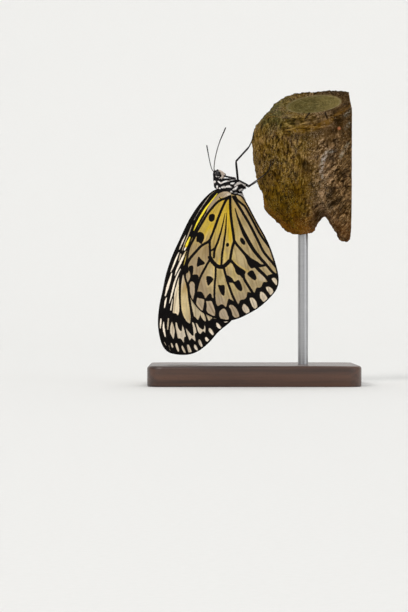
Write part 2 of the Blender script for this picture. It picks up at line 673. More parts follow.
def fresh_wood(bark, broad, patches):
    """The end cut: pale rings at uneven distances round a darker heart, with saw marks across."""
    heart = bark.node("ShaderNodeVectorMath", {"operation": "DISTANCE"}, {
        0: bark.place(), 1: tuple(spot(END_CUT_COLUMN, END_CUT_HEART_ROW))}, output=1)
    years = bark.noise(1.0, 2.0, 0.55, bark.node("ShaderNodeCombineXYZ", None, {
        0: heart * 950.0 + broad * 5.0 + patches * 1.2, 1: 0.0, 2: 0.0}))
    fresh = bark.mix(years.step(0.38, 0.60), paint(140, 103, 64), paint(176, 141, 98))
    fresh = bark.mix((heart + patches * 0.006).step(0.016, 0.010) * 0.5, fresh, paint(116, 78, 46))
    marks = bark.noise(1.0, 3.0, 0.6, bark.place((900.0, 3000.0, 3000.0)))
    return bark.mix(marks.step(0.46, 0.66) * 0.4, fresh, paint(104, 72, 42))


def bark_skin():
    """Olive and grey brown bark: pale fibres over dark ones along the relief's grain, tinted by place
    and by the stored marks. The two cuts are laid over it."""
    bark = Finish("branch_bark", Roughness=0.95, Specular_IOR_Level=0.04)
    height = bark.node("ShaderNodeSeparateXYZ", None, {0: bark.place()}, output=2)
    beside = bark.node("ShaderNodeSeparateXYZ", None, {0: bark.place()})
    east = at_columns(beside, 292, 326)
    low = at_rows(height, 120, 160)
    relief = bark.field("relief") + (bark.noise(2600.0, 4.0, 0.65) - 0.5) * 0.8
    upright = bark.noise(1.0, 5.0, 0.70, bark.place((1180.0, 1180.0, 430.0), (0.0, -0.12, 0.0)))
    leaning = bark.noise(1.0, 5.0, 0.70, bark.place((1180.0, 1180.0, 400.0), (0.0, -0.80, 0.0)))
    sloped = east * low
    around = bark.node("ShaderNodeCombineXYZ", None, {
        0: bark.field("ring") * 4.8, 1: bark.field("turn") * 6.5, 2: 0.0})
    collar = bark.field("collar")
    fibres = upright * (1 - sloped) + leaning * sloped
    fibres = fibres * (1 - collar) + bark.noise(1.0, 5.0, 0.70, around) * collar
    grit = bark.noise(1350.0, 4.0, 0.7)
    lively = bark.noise(190.0, 3.0, 0.6).step(0.40, 0.60) * 0.60 + 0.52
    broad = bark.noise(130.0, 4.0, 0.6)
    clumps = bark.noise(300.0, 3.0, 0.55)
    patches = bark.noise(240.0, 4.0, 0.6)
    tone = bark.mix(broad.step(0.36, 0.64), paint(88, 62, 12), paint(114, 86, 26))
    tone = bark.mix(clumps.step(0.52, 0.68) * 0.45, tone, paint(56, 40, 8))
    brown = bark.mix(clumps.step(0.38, 0.60), paint(76, 56, 36), paint(112, 86, 56))
    tone = bark.mix(east * 0.8, tone, brown)
    golden = at_rows(height, 160, 205) * at_columns(beside, 318, 296)
    tone = bark.mix(golden * patches.step(0.32, 0.56) * 0.55, tone, paint(108, 76, 2))
    blush = bark.noise(150.0, 3.0, 0.6).step(0.50, 0.64) * (1 - golden * 0.8)
    tone = bark.mix(blush * 0.46, tone, paint(148, 116, 88))
    olive = bark.noise(330.0, 3.0, 0.6).step(0.50, 0.62) * (1 - east)
    tone = bark.mix(olive * 0.38, tone, paint(62, 60, 26))
    flank = at_columns(beside, 268, 256)
    tone = bark.mix(flank * 0.35, tone, paint(150, 116, 52))
    light = bark.mix(east, bark.mix(golden, paint(186, 152, 92), paint(150, 114, 30)), paint(206, 172, 134))
    tone = bark.mix(fibres.step(0.52, 0.61) * (0.80 + east * 0.20) * lively, tone, light)
    tone = bark.mix(grit.step(0.56, 0.67) * 0.55, tone, light)
    tone = bark.mix(fibres.step(0.485, 0.40) * 0.90, tone, paint(24, 15, 3))
    tone = bark.mix(grit.step(0.46, 0.35) * 0.64, tone, paint(26, 16, 4))
    tone = bark.mix(relief.step(0.05, -0.55) * 0.72, tone, paint(28, 18, 4))
    tone = bark.mix(relief.step(0.40, 0.95) * 0.38, tone, paint(164, 134, 92))
    mossy = at_rows(height, 142, 116) * at_columns(beside, 306, 272) * patches.step(0.30, 0.50)
    moss = bark.mix(fibres.step(0.46, 0.56), paint(42, 46, 24), paint(98, 102, 66))
    tone = bark.mix(mossy * 0.62, tone, moss)
    brow = at_rows(height, 150, 126) * at_columns(beside, 310, 328)
    tone = bark.mix(brow * 0.66, tone, paint(58, 40, 10))
    tone = bark.mix(bark.field("fold") * fibres.step(0.38, 0.56) * 0.62, tone, paint(126, 90, 16))
    russet = at_rows(height, 206, 236)
    far = at_columns(beside, 322, 340)
    tone = bark.mix(russet * patches.step(0.34, 0.54) * (0.60 - far * 0.35), tone, paint(150, 92, 30))
    tone = bark.mix(bark.field("hem") * (0.10 + fibres.step(0.40, 0.60) * 0.52), tone, paint(160, 106, 56))
    tone = bark.mix(at_rows(height, 100, 88) * 0.45, tone, paint(40, 28, 14))
    tone = bark.mix(bark.field("stain") * (0.25 + patches * 0.65), tone, paint(34, 23, 6))
    speckle = bark.noise(3600.0, 2.0, 0.6).step(0.58, 0.68) * bark.noise(170.0, 3.0, 0.6).step(0.44, 0.56)
    tone = bark.mix(speckle * 0.75, tone, paint(214, 186, 156))
    flecks = bark.noise(1500.0, 2.0, 0.6).step(0.44, 0.56)
    crust = bark.mix(flecks, paint(112, 120, 112), paint(198, 190, 186))
    tone = bark.mix(bark.field("lichen") * (0.05 + fibres.step(0.46, 0.56) * 0.60), tone, crust)
    tone = bark.mix(bark.field("scar") * 0.85, tone, paint(212, 138, 104))
    dull = bark.mix(golden, (0.92, 0.92, 0.80, 1.0), (0.80, 0.78, 0.36, 1.0))
    dull = bark.mix(flank + east, dull, (0.98, 0.97, 0.92, 1.0))
    dull = bark.mix(far, dull, (0.70, 0.64, 0.50, 1.0))
    tone = bark.mix(1.0, tone, dull, "MULTIPLY")
    tone = bark.mix(bark.field("sawn"), tone, weathered_wood(bark, beside, clumps))
    tone = bark.mix(bark.field("crack").step(-0.5, 0.4) * 0.92, tone, paint(24, 17, 9))
    tone = bark.mix(bark.field("end_cut"), tone, fresh_wood(bark, broad, patches))
    bark.feed(Base_Color=tone)
    bark.bump(fibres * 0.8 + relief * 0.30 + bark.noise(5200.0, 3.0, 0.6) * 0.2, 0.6 * MM, 1.0)
    return bark


stub_points, stub_faces, stub_fields = bark_stub()
add_piece("branch_stub", stub_points, stub_faces, bark_skin(), "bark", ["perch_branch"],
          stub_fields, crease=62)
stub_tree = BVHTree.FromPolygons(stub_points.reshape(-1, 3).tolist(), stub_faces.tolist())


# The body: head, breast and abdomen in one horny skin, black with white scale bands. The abdomen
# lies hidden between the hindwings, cream at the sides and dark along its back.
HEAD_STATIONS = [
    (216.6, 170.2, 0.55, 0.6), (216.6, 171.4, 1.25, 1.3), (216.9, 173.8, 1.55, 1.45),
    (217.0, 176.2, 1.52, 1.4), (216.9, 178.3, 1.45, 1.15), (217.1, 180.2, 1.45, 0.95),
    (218.2, 182.6, 1.1, 0.9)]
THORAX_STATIONS = [
    (217.0, 180.4, 1.2, 0.9), (217.6, 182.0, 1.75, 1.3), (220.6, 184.6, 2.45, 1.8),
    (225.2, 186.4, 2.95, 2.05), (230.6, 187.0, 3.15, 2.1), (236.0, 187.0, 2.95, 2.0),
    (239.8, 187.0, 2.15, 1.65), (242.3, 187.0, 1.4, 1.15), (243.9, 187.0, 0.6, 0.5)]
ABDOMEN_AXIS = [(239.2, 191.5), (244.5, 210.0), (257.2, 237.0)]
ABDOMEN_RADIUS = 1.88
ABDOMEN_RINGS = 8
ABDOMEN_STATIONS = 120
ABDOMEN_TOP_ROW = 193.5
ABDOMEN_BACK_WIDTH = 2.2
BODY_LINE = [(216.6, 170.3), (217.2, 176.0), (218.5, 181.5), (225.0, 186.2), (236.0, 188.4),
             (242.0, 194.5), (244.5, 210.0), (250.0, 224.0), (257.2, 237.0)]
BODY_KNOBS = [
    (221.0, 187.6, 1.55, (1.5, 0.75, 1.3)), (228.5, 191.0, 1.45, (1.9, 0.75, 0.9)),
    (237.4, 182.6, 1.0, (1.0, 0.75, 1.15)), (242.2, 184.7, 0.9, (1.15, 0.75, 0.85)),
    (224.6, 181.8, 1.0, (1.0, 0.7, 0.95)), (214.4, 171.9, 0.75, (0.46, 0.44, 0.46)),
    (219.6, 176.4, 0.55, (0.8, 0.5, 0.9)), (217.2, 185.0, 0.3, (1.35, 1.1, 1.6)),
    (232.2, 182.6, 0.8, (1.5, 0.9, 1.1)), (243.8, 187.1, 0.3, (0.78, 0.65, 0.72))]
BODY_VOXEL = 0.085
BODY_SMOOTH_STEPS = 7
WHITE_STROKES = [
    ([(218.2, 181.6), (220.7, 183.3), (223.6, 182.2), (226.2, 181.3), (229.0, 181.2)],
     (1.2, 1.7, 1.5, 1.4, 0.9)),
    ([(230.0, 180.3), (232.2, 180.0), (234.2, 179.6)], (1.2, 1.4, 0.9)),
    ([(231.2, 183.7), (232.6, 183.7), (233.8, 183.3)], (1.4, 2.1, 1.2)),
    ([(217.0, 186.3), (217.3, 188.7), (218.6, 189.8), (219.9, 188.4)], 1.5),
    ([(221.3, 187.6), (223.6, 187.6), (225.8, 187.4)], (1.0, 3.2, 1.4)),
    ([(226.6, 186.9), (228.5, 186.7), (231.0, 187.6)], (1.9, 2.6, 1.0)),
    ([(234.4, 186.2), (237.0, 184.4), (239.6, 182.7), (243.0, 183.2), (246.6, 186.4)],
     (1.0, 2.4, 3.0, 3.2, 2.8)),
    ([(245.2, 184.6), (246.4, 187.4)], 1.8),
    ([(233.0, 190.0), (235.0, 188.9), (237.0, 186.9)], (1.2, 2.6, 1.4)),
    ([(239.2, 190.6), (241.8, 189.3)], 1.4),
    ([(234.2, 194.0), (236.4, 193.4)], 1.8)]
WHITE_DOTS = [(214.5, 181.9, 1.2), (216.6, 176.3, 0.85), (218.6, 176.4, 0.8), (231.2, 192.2, 1.2),
              (215.4, 173.2, 0.4), (219.4, 178.6, 0.4)]


def loft(stations, count, sides=72):
    """Rings across a path in the middle plane, in mm, drawn together to a point at both ends."""
    table = flow(stations, count)
    centre = plane(table[:, :2]) / MM
    heading = np.gradient(centre, axis=0)
    heading /= np.linalg.norm(heading, axis=1, keepdims=True)
    size = table[:, 2:4] * np.append(np.insert(np.ones(count - 2), 0, 0), 0)[:, None]
    turn = np.linspace(0, 2 * math.pi, sides, endpoint=False)
    reach = size[:, :1] * np.cos(turn)
    points = np.stack((centre[:, :1] - heading[:, 1:] * reach, size[:, 1:] * np.sin(turn),
                       centre[:, 1:] + heading[:, :1] * reach), -1)
    return points, grid_faces(count, sides, closed=True)


def knob(place, radii, rows=20, sides=32):
    """Round swelling with its own three radii."""
    across, turn = np.meshgrid(np.linspace(-math.pi / 2, math.pi / 2, rows),
                               np.linspace(0, 2 * math.pi, sides, endpoint=False), indexing="ij")
    unit = np.stack((np.cos(across) * np.cos(turn), np.sin(across), np.cos(across) * np.sin(turn)), -1)
    return unit * radii + place, grid_faces(rows, sides, closed=True)


def joined(parts):
    """Several grids of points and faces as one list of each."""
    starts = np.cumsum([0] + [points.size // 3 for points, _ in parts[:-1]])
    points = np.concatenate([points.reshape(-1, 3) for points, _ in parts])
    return points, np.concatenate([faces + start for (_, faces), start in zip(parts, starts)])


def finished(thing):
    """The mesh that an object's modifiers give."""
    return bpy.data.meshes.new_from_object(
        thing.evaluated_get(bpy.context.evaluated_depsgraph_get()))


def abdomen_stations():
    """Tapered tube that narrows a little at each of its rings."""
    axis = flow(ABDOMEN_AXIS, ABDOMEN_STATIONS)
    share = np.linspace(0, 1, ABDOMEN_STATIONS)
    swell = ABDOMEN_RADIUS * np.sin(math.pi * (0.13 + 0.81 * share)) ** 0.8
    step = (share * ABDOMEN_RINGS) % 1
    size = swell * (0.93 + 0.07 * np.sin(math.pi * np.clip(step * 1.15, 0, 1)) ** 0.5)
    return np.column_stack((axis, size, size * 0.97))


def body_skin():
    """Lofts of the three body parts and knobs for the roots of wings, legs and feelers, fused on a
    grid of voxels and smoothed as one."""
    parts = [loft(HEAD_STATIONS, 60), loft(THORAX_STATIONS, 90),
             loft(abdomen_stations(), ABDOMEN_STATIONS)]
    for side in (-1, 1):
        for column, row, y, radii in BODY_KNOBS:
            parts.append(knob(spot(column, row) / MM + (0, side * y, 0), radii))
    points, faces = joined(parts)
    rough_form = put("body_form", mesh_of("body_form", points, faces))
    fuse = rough_form.modifiers.new("fuse", "REMESH")
    fuse.mode = "VOXEL"
    fuse.voxel_size = BODY_VOXEL
    soften = rough_form.modifiers.new("soften", "SMOOTH")
    soften.factor = 0.5
    soften.iterations = BODY_SMOOTH_STEPS
    fused = finished(rough_form)
    bpy.data.objects.remove(rough_form)
    points = np.empty(len(fused.vertices) * 3)
    fused.vertices.foreach_get("co", points)
    quads = np.empty(len(fused.polygons) * 4, dtype=np.int32)
    fused.polygons.foreach_get("vertices", quads)
    return points.reshape(-1, 3) * MM, quads.reshape(-1, 4)


def picture_place(points):
    """Columns and rows of points in the frame, straight across."""
    return np.stack((points[..., 0] / PX + MIDDLE_COLUMN, FLOOR_ROW - points[..., 2] / PX), -1)


def body_white(points):
    """How deep a point lies in a white mark, in px; on the abdomen, how far from its dark back."""
    places = picture_place(points)
    depth = np.max([stroke(places, line, width) for line, width in WHITE_STROKES], axis=0)
    dots = np.max([radius - np.hypot(*(places - (column, row)).T) for column, row, radius in WHITE_DOTS],
                  axis=0)
    back = places[:, 0] - np.interp(places[:, 1], *np.array(ABDOMEN_AXIS)[:, ::-1].T)
    belly = np.where(places[:, 1] > ABDOMEN_TOP_ROW, np.minimum(back + ABDOMEN_BACK_WIDTH, 0.1), -9)
    return np.maximum(np.maximum(depth, dots), belly)


def scaly_skin():
    """Black horn under fine scales, white where the marks are, faintly ribbed by the scale rows."""
    skin = Finish("body_scales", Roughness=0.7, Specular_IOR_Level=0.18)
    edge = skin.field("white") + (skin.noise(3800.0, 3.0, 0.6) - 0.5) * 1.5
    scales = skin.cells(9000.0)
    cloud = skin.noise(700.0, 3.0, 0.6).step(0.40, 0.58)
    dark = skin.mix(scales, paint(5, 4, 5), paint(20, 16, 18))
    light = skin.mix(cloud, paint(222, 213, 206), paint(255, 252, 249))
    skin.feed(Base_Color=skin.mix(edge.step(-0.25, 0.25), dark, light))
    skin.bump(scales, 0.03 * MM, 0.7)
    return skin


skin_points, skin_faces = body_skin()
body_scales = scaly_skin()
add_piece("body_skin", skin_points, skin_faces, body_scales, "body_scales",
          ["head", "thorax", "abdomen"], {"white": body_white(skin_points)})


# The eyes: domed compound eyes of horn, near black and glossy, with thousands of tiny lenses. They
# sit deep in the sides of the head.
EYE_PLACE = (217.8, 173.9)
EYE_LIE = 1.12
EYE_RADII = (1.06, 0.98, 1.14)


def eye_horn():
    """Fine raised lenses packed like a honeycomb under a clear coat."""
    horn = Finish("eye_lenses", Roughness=0.30, Specular_IOR_Level=0.3, Coat_Weight=0.35, Coat_Roughness=0.08)
    lenses = horn.cells(16000.0)
    depth = horn.noise(900.0, 2.0)
    horn.feed(Base_Color=horn.mix(depth, paint(5, 4, 6), paint(20, 15, 16)))
    horn.bump(lenses, 0.012 * MM, 0.6)
    return horn


lens_horn = eye_horn()
for label, side in (("right", -1), ("left", 1)):
    place = spot(*EYE_PLACE) / MM + (0, side * EYE_LIE, 0)
    eye_points, eye_faces = knob(place, EYE_RADII, 60, 90)
    add_piece("eye_lenses_" + label, eye_points * MM, eye_faces, lens_horn, "eye", ["eye_" + label])


# The tongue and the palps: a dark coiled drinking tube, kept rolled up between two scaly fingers
# that curve up in front of the face, pale grey with black tips.
TONGUE_RADIUS = 0.17
TONGUE_ROOT = [(219.8, 177.2), (221.8, 177.35)]
COIL_MIDDLE = (223.6, 174.9)
COIL_DEGREES = (-90, 620)
COIL_RADII = (0.84, 0.20)
COIL_STATIONS = 150
PALP_RADIUS = 0.56
PALP_LIE = 0.85
PALP_STATIONS = 48
PALP_SIDES = 24
PALP_LINE = [(220.6, 178.4), (222.7, 177.0), (223.3, 175.2), (221.0, 172.4), (217.0, 170.1)]


def tube(path, radii, sides=16, flat=1.0):
    """Round tube along a path: rings square to it, drawn to a point at both ends."""
    heading = np.gradient(path, axis=0)
    heading /= np.linalg.norm(heading, axis=1, keepdims=True)
    first = np.cross(heading, (0.0, 1.0, 0.0))
    first /= np.linalg.norm(first, axis=1, keepdims=True)
    second = np.cross(heading, first)
    radii = np.broadcast_to(radii, len(path)) * np.append(np.insert(np.ones(len(path) - 2), 0, 0), 0)
    turn = np.linspace(0, 2 * math.pi, sides, endpoint=False)[:, None]
    ring = first[:, None] * np.cos(turn) + second[:, None] * np.sin(turn) * flat
    points = path[:, None] + ring * radii[:, None, None]
    return points, grid_faces(len(path), sides, closed=True)


def capped(path, radii):
    """Doubles the first and last stations, so that a tube ends in a flat face."""
    path = np.vstack((path[:1] - (path[1] - path[0]) * 1e-3, path, path[-1:] + (path[-1] - path[-2]) * 1e-3))
    return path, np.concatenate((radii[:1], radii, radii[-1:]))


def black_horn(name, dark, light, shine):
    """Insect horn: dark, with a sparse dust of paler scales and a fine grain."""
    horn = Finish(name, Roughness=shine)
    dust = horn.noise(5200.0, 3.0, 0.7)
    horn.feed(Base_Color=horn.mix(dust.step(0.45, 0.75), dark, light))
    horn.bump(dust, 0.02 * MM, 0.7)
    return horn


def palp_skin():
    """Speckled pale scales with a black tip, whose edge the speckle breaks up."""
    scales = Finish("palp_scales", Roughness=0.75)
    speckle = scales.noise(5200.0, 3.0, 0.6)
    tip = scales.field("share") + (speckle - 0.5) * 0.3
    pale = scales.mix(speckle.step(0.3, 0.7), paint(186, 170, 152), paint(246, 232, 218))
    scales.feed(Base_Color=scales.mix(tip.step(0.82, 0.92), pale, paint(8, 6, 7)))
    scales.bump(speckle, 0.04 * MM)
    return scales


coil_turn = np.radians(np.linspace(*COIL_DEGREES, COIL_STATIONS))
coil_radius = np.linspace(*COIL_RADII, COIL_STATIONS)
coil = np.stack((coil_radius * np.cos(coil_turn), 0 * coil_turn, coil_radius * np.sin(coil_turn)), 1)
coil = spot(*COIL_MIDDLE) / MM + coil
tongue_root = [spot(*place) / MM for place in TONGUE_ROOT]
coil = np.vstack((flow([*tongue_root, coil[0]], 20)[:-1], coil))
coil_size = TONGUE_RADIUS * np.linspace(1.0, 0.55, len(coil))
coil_size *= 1 + 0.06 * np.sin(np.arange(len(coil)) * 2.1)
tongue_horn = black_horn("tongue_horn", paint(28, 16, 12), paint(70, 44, 30), 0.4)
tongue_points, tongue_faces = tube(*capped(coil, coil_size), sides=14)
add_piece("tongue_coil", tongue_points * MM, tongue_faces, tongue_horn, "horn", ["proboscis"])

palp_scales = palp_skin()
palp_grids = {}
for label, side in (("right", -1), ("left", 1)):
    path = flow(PALP_LINE, PALP_STATIONS)
    share = np.linspace(0, 1, PALP_STATIONS)
    line = np.insert(plane(path) / MM, 1, side * (PALP_LIE - 0.25 * share), axis=1)
    size = PALP_RADIUS * np.sin(math.pi * (0.20 + 0.68 * share)) ** 0.9
    size *= 1 - 0.14 * np.exp(-((share - 0.76) / 0.05) ** 2)
    palp_points, palp_faces = tube(*capped(line, size), sides=PALP_SIDES, flat=0.8)
    fields = {"share": np.repeat(np.concatenate(([0], share, [1])), PALP_SIDES)}
    add_piece("palp_" + label + "_scales", palp_points * MM, palp_faces, palp_scales, "body_scales",
              ["palp_" + label], fields)
    palp_grids[label] = palp_points, palp_faces, line


# The coat: silky hairs rooted in the horn, shortest on the face and longest on the breast. They lie
# toward the tail, on the palps toward the tip, and carry the marks of the skin under them.
BODY_HAIRS = 9500
BODY_HAIR_LIFT = 0.42
PALP_HAIRS = 1100
PALP_HAIR_LIFT = 0.55
HAIR_WIDTH = 0.024
HAIR_POINTS = 7
BODY_HAIR_LENGTHS = ((0, 0.10, 0.20, 0.28, 0.50, 0.60, 0.66, 1),
                     (0.16, 0.20, 0.26, 0.45, 0.50, 0.36, 0.20, 0.16))
PALP_HAIR_LENGTHS = ((0, 0.3, 0.8, 1), (0.20, 0.42, 0.36, 0.22))
TUFT_PATCH = 0.0015
BARE_CORNERS = [(229, 188.3), (238, 192.0)]
EYE_CLEARANCE = 1.12


def strands(roots, tips, width, bend, flat=1.0):
    """Tapered three-sided hairs from roots to tips, whose middle stands out by the bend."""
    roots, tips, bend = (np.asarray(item, dtype=float) for item in (roots, tips, bend))
    width = np.broadcast_to(width, len(roots))[:, None]
    along = tips - roots
    along /= np.linalg.norm(along, axis=1, keepdims=True)
    side = np.cross(along, bend + 1e-9)
    side /= np.linalg.norm(side, axis=1, keepdims=True)
    up = np.cross(side, along) * flat
    middle = (roots + tips) / 2 + bend
    rings = [centre + width * size * (side * math.cos(turn) + up * math.sin(turn))
             for centre, size in ((roots, 1.0), (middle, 0.8)) for turn in (0.5, 2.6, 4.7)]
    points = np.stack(rings + [tips], 1)
    pattern = np.array([(0, 1, 4, 3), (1, 2, 5, 4), (2, 0, 3, 5), (3, 4, 6, 6), (4, 5, 6, 6),
                        (5, 3, 6, 6), (0, 2, 1, 1)])
    faces = (np.arange(len(roots))[:, None, None] * HAIR_POINTS + pattern).reshape(-1, 4)
    return points, faces


def rooted(points, faces, count, draw):
    """Random places on a skin, even by area, and the outward direction at each."""
    corners = points.reshape(-1, 3)[faces]
    normal = np.cross(corners[:, 2] - corners[:, 0], corners[:, 3] - corners[:, 1])
    area = np.linalg.norm(normal, axis=1)
    picked = draw.choice(len(faces), count, p=area / area.sum())
    first, second, third, fourth = np.moveaxis(corners[picked], 1, 0)
    u, v = draw.random((2, count, 1))
    roots = (first * (1 - u) + second * u) * (1 - v) + (fourth * (1 - u) + third * u) * v
    return roots, normal[picked] / area[picked, None]


def combed(roots, outward, path, lengths, lift, draw):
    """Hairs laid along a path, raised by the lift, and each one's place round and along the path."""
    _, share = away_from(path, roots)
    index = np.minimum((share * (len(path) - 1)).astype(int), len(path) - 2)
    heading = np.diff(path, axis=0)[index]
    heading /= np.linalg.norm(heading, axis=1, keepdims=True)
    beside = roots - path[index]
    turn = np.arctan2(beside[:, 1], (beside * np.cross(heading, (0, 1, 0))).sum(1))
    length = np.interp(share, *lengths)[:, None] * draw.uniform(0.6, 1.2, (len(roots), 1))
    aim = heading + outward * lift + draw.normal(scale=0.2, size=roots.shape)
    aim -= outward * np.minimum((aim * outward).sum(1, keepdims=True) - 0.12, 0)
    tips = roots + aim / np.linalg.norm(aim, axis=1, keepdims=True) * length
    hair = strands(roots - outward * 0.02, tips, HAIR_WIDTH, outward * length * 0.10)
    return *hair, np.stack((turn / (2 * math.pi) + 0.5, share), 1)


def add_coat(name, hair, finish, key, values):
    """One piece of hairs. A small patch of the map OFBake shows where each is rooted on the skin."""
    points, faces, places = hair
    thing = add_piece(name, points * MM, faces, finish, "body_scales", None,
                      {key: np.repeat(values, HAIR_POINTS)})
    corner = np.empty(len(thing.data.loops), dtype=np.int32)
    thing.data.loops.foreach_get("vertex_index", corner)
    pattern = np.array([(-1, -1), (1, -1), (0, -1), (-1, 0), (1, 0), (0, 0), (0, 1)]) * TUFT_PATCH
    spread_out = (np.clip(places, 0.002, 0.998)[:, None] + pattern).reshape(-1, 2)
    thing.data.uv_layers.new(name="OFBake").data.foreach_set("uv", spread_out[corner].ravel())


hair_draw = np.random.default_rng(41)
roots, outward = rooted(skin_points / MM, skin_faces, BODY_HAIRS, hair_draw)
columns, rows = picture_place(roots * MM).T
bare = np.any([(columns < column) & (rows > row) for column, row in BARE_CORNERS], axis=0)
for side in (-1, 1):
    beside_eye = roots - (spot(*EYE_PLACE) / MM + (0, side * EYE_LIE, 0))
    bare |= np.linalg.norm(beside_eye / EYE_RADII, axis=1) < EYE_CLEARANCE
roots, outward = roots[~bare], outward[~bare]
body_path = np.insert(plane(flow(BODY_LINE, 90)) / MM, 1, 0.0, axis=1)
body_hair = combed(roots, outward, body_path, BODY_HAIR_LENGTHS, BODY_HAIR_LIFT, hair_draw)
add_coat("body_coat", body_hair, body_scales, "white", body_white(roots * MM))
for label, (palp_points, palp_faces, line) in palp_grids.items():
    roots, outward = rooted(palp_points, palp_faces, PALP_HAIRS, hair_draw)
    palp_hair = combed(roots, outward, line, PALP_HAIR_LENGTHS, PALP_HAIR_LIFT, hair_draw)
    add_coat("palp_" + label + "_coat", palp_hair, palp_scales, "share", palp_hair[2][:, 1])


# The feelers: thin black rods of many short rings, a little paler at the root, which thicken to a
# slim club. Each turns in a socket on the brow.
FEELER_RADIUS = 0.18
FEELER_CLUB = 0.245
FEELER_RINGS = 42
FEELER_STATIONS = FEELER_RINGS * 5
FEELER_SIDES = 16
FEELERS = {"right": ([(214.7, 172.3), (214.0, 167.5), (215.6, 156.4), (219.4, 143.0), (225.7, 128.2)],
                     -0.75, -4.5),
           "left": ([(214.5, 172.3), (211.6, 167.8), (209.0, 156.0), (206.8, 142.6)], 0.75, 14.5)}


def feeler_skin():
    """Black horn with a dust of pale scales toward the root."""
    horn = Finish("feeler_horn", Roughness=0.5)
    dust = horn.noise(4200.0, 3.0, 0.6)
    root = horn.field("share").step(0.45, 0.05)
    horn.feed(Base_Color=horn.mix(dust.step(0.4, 0.7) * root, paint(15, 13, 13), paint(104, 100, 90)))
    horn.bump(dust, 0.02 * MM, 0.6)
    return horn


feeler_horn = feeler_skin()
for label, (points, root_y, tip_y) in FEELERS.items():
    share = np.linspace(0, 1, FEELER_STATIONS)
    depth = root_y + (tip_y - root_y) * share ** 0.9
    line = np.insert(plane(flow(points, FEELER_STATIONS)) / MM, 1, depth, axis=1)
    size = FEELER_RADIUS + (FEELER_CLUB - FEELER_RADIUS) * ease(share, 0.55, 0.9)
    size *= 1 - 0.55 * ease(share, 0.985, 1.0) + 0.35 * ease(share, 0.03, 0.0)
    size *= 1 + 0.07 * np.cos(2 * math.pi * FEELER_RINGS * share)
    feeler_points, feeler_faces = tube(*capped(line, size), sides=FEELER_SIDES)
    fields = {"share": np.repeat(np.concatenate(([0], share, [1])), FEELER_SIDES)}
    add_piece("feeler_" + label, feeler_points * MM, feeler_faces, feeler_horn, "horn",
              ["antenna_" + label], fields)


# The legs: jointed tubes of black horn with short spines and paired claws. The fore pair is small
# and folded along the breast; the middle and hind pairs grip the bark. A joint is given by its
# column, its row and how many mm it stands out to its side.
FEMUR_PROFILE = ((0, 0.08, 0.45, 0.92, 1), (0.28, 0.38, 0.40, 0.32, 0.24))
HIND_FEMUR_PROFILE = ((0, 0.08, 0.45, 0.92, 1), (0.26, 0.32, 0.34, 0.26, 0.23))
TIBIA_PROFILE = ((0, 0.06, 0.5, 0.93, 1), (0.23, 0.23, 0.21, 0.24, 0.19))
FORE_FEMUR_PROFILE = ((0, 0.5, 1), (0.24, 0.30, 0.22))
FORE_TIBIA_PROFILE = ((0, 0.5, 1), (0.22, 0.20, 0.20))
LEG_SIDES = 16
LEG_PALENESS = ((0, 25, 30, 52, 60), (0, 0, 1, 0.6, 0))
TARSUS_RADIUS = 0.21
TARSUS_JOINTS = 5
SHIN_SPINES = (26, 0.42)
TOE_SPINES = (22, 0.30)
SPINE_WIDTH = 0.028
CLAW_LENGTH = 0.55
CLAW_WIDTH = 0.07
MID_JOINTS = [(238.2, 183.0, 1.3), (235.9, 161.4, 4.6), (248.6, 147.5, 3.6)]
MID_TOES = [(250.9, 143.0, 3.3), (252.4, 139.0, 3.3)]
MID_FOOT = (200.0, 133.4, 3.0)
HIND_JOINTS = [(238.6, 180.4, 1.3), (248.8, 186.3, 5.2)]
HIND_TOES = [(262.6, 177.0), (266.2, 174.0), (268.8, 169.4), (269.6, 165.0), (270.0, 161.6)]
FORE_JOINTS = [(222.0, 179.2, 1.72), (235.0, 179.2, 1.72), (235.4, 178.3, 1.72), (224.0, 176.1, 1.72)]


def joint(column, row, y, side):
    """A joint of a leg, y mm out to one side, in mm."""
    return spot(column, row) / MM + (0, side * y, 0)


def on_bark(column, row, y, direction):
    """Where a foot rests when it comes to the bark along a direction, in mm."""
    hit = stub_tree.ray_cast(Vector(spot(column, row, y * MM)), Vector(direction))[0]
    return np.array(hit) / MM - np.array(direction) * TARSUS_RADIUS * 1.2


def bone(start, end, profile, count=26):
    """Straight length of leg: places along it, and its radius there."""
    share = np.linspace(0.0, 1.0, count)[:, None]
    return start + (end - start) * share, np.interp(share[:, 0], *profile)


def foot(points, stout):
    """Toes: short joints, each flared at its far end, along a bent path; stout scales their radius."""
    path = flow(points, TARSUS_JOINTS * 9)
    share = np.linspace(0, TARSUS_JOINTS, len(path)) % 1
    return path, stout * TARSUS_RADIUS * (0.82 + 0.30 * share ** 2) * np.linspace(1.0, 0.85, len(path))


def spines(path, radii, count, length, seed):
    """Short stiff spines set round a tube and leaning towards its far end."""
    draw = np.random.default_rng(seed)
    place = np.sort(draw.uniform(0.08, 0.97, count)) * (len(path) - 1)
    index = place.astype(int)
    heading = np.gradient(path, axis=0)[index]
    heading /= np.linalg.norm(heading, axis=1, keepdims=True)
    out = np.cross(heading, draw.normal(size=(count, 3)))
    out /= np.linalg.norm(out, axis=1, keepdims=True)
    roots = path[index] + out * radii[index, None] * 0.7
    tips = roots + (heading * 0.75 + out * 0.65) * length * draw.uniform(0.7, 1.2, (count, 1))
    return strands(roots, tips, SPINE_WIDTH, out * 0.03)


def claws(path):
    """Two hooks at the end of a foot, spread apart and curled down."""
    heading = path[-1] - path[-4]
    heading /= np.linalg.norm(heading)
    side = np.cross(heading, (0.2, 0.9, 0.3))
    side /= np.linalg.norm(side)
    roots = np.array([path[-2], path[-2]])
    spread = np.array([side, -side])
    tips = roots + (heading + spread * 0.45) * CLAW_LENGTH
    return strands(roots, tips, CLAW_WIDTH, spread * 0.12)


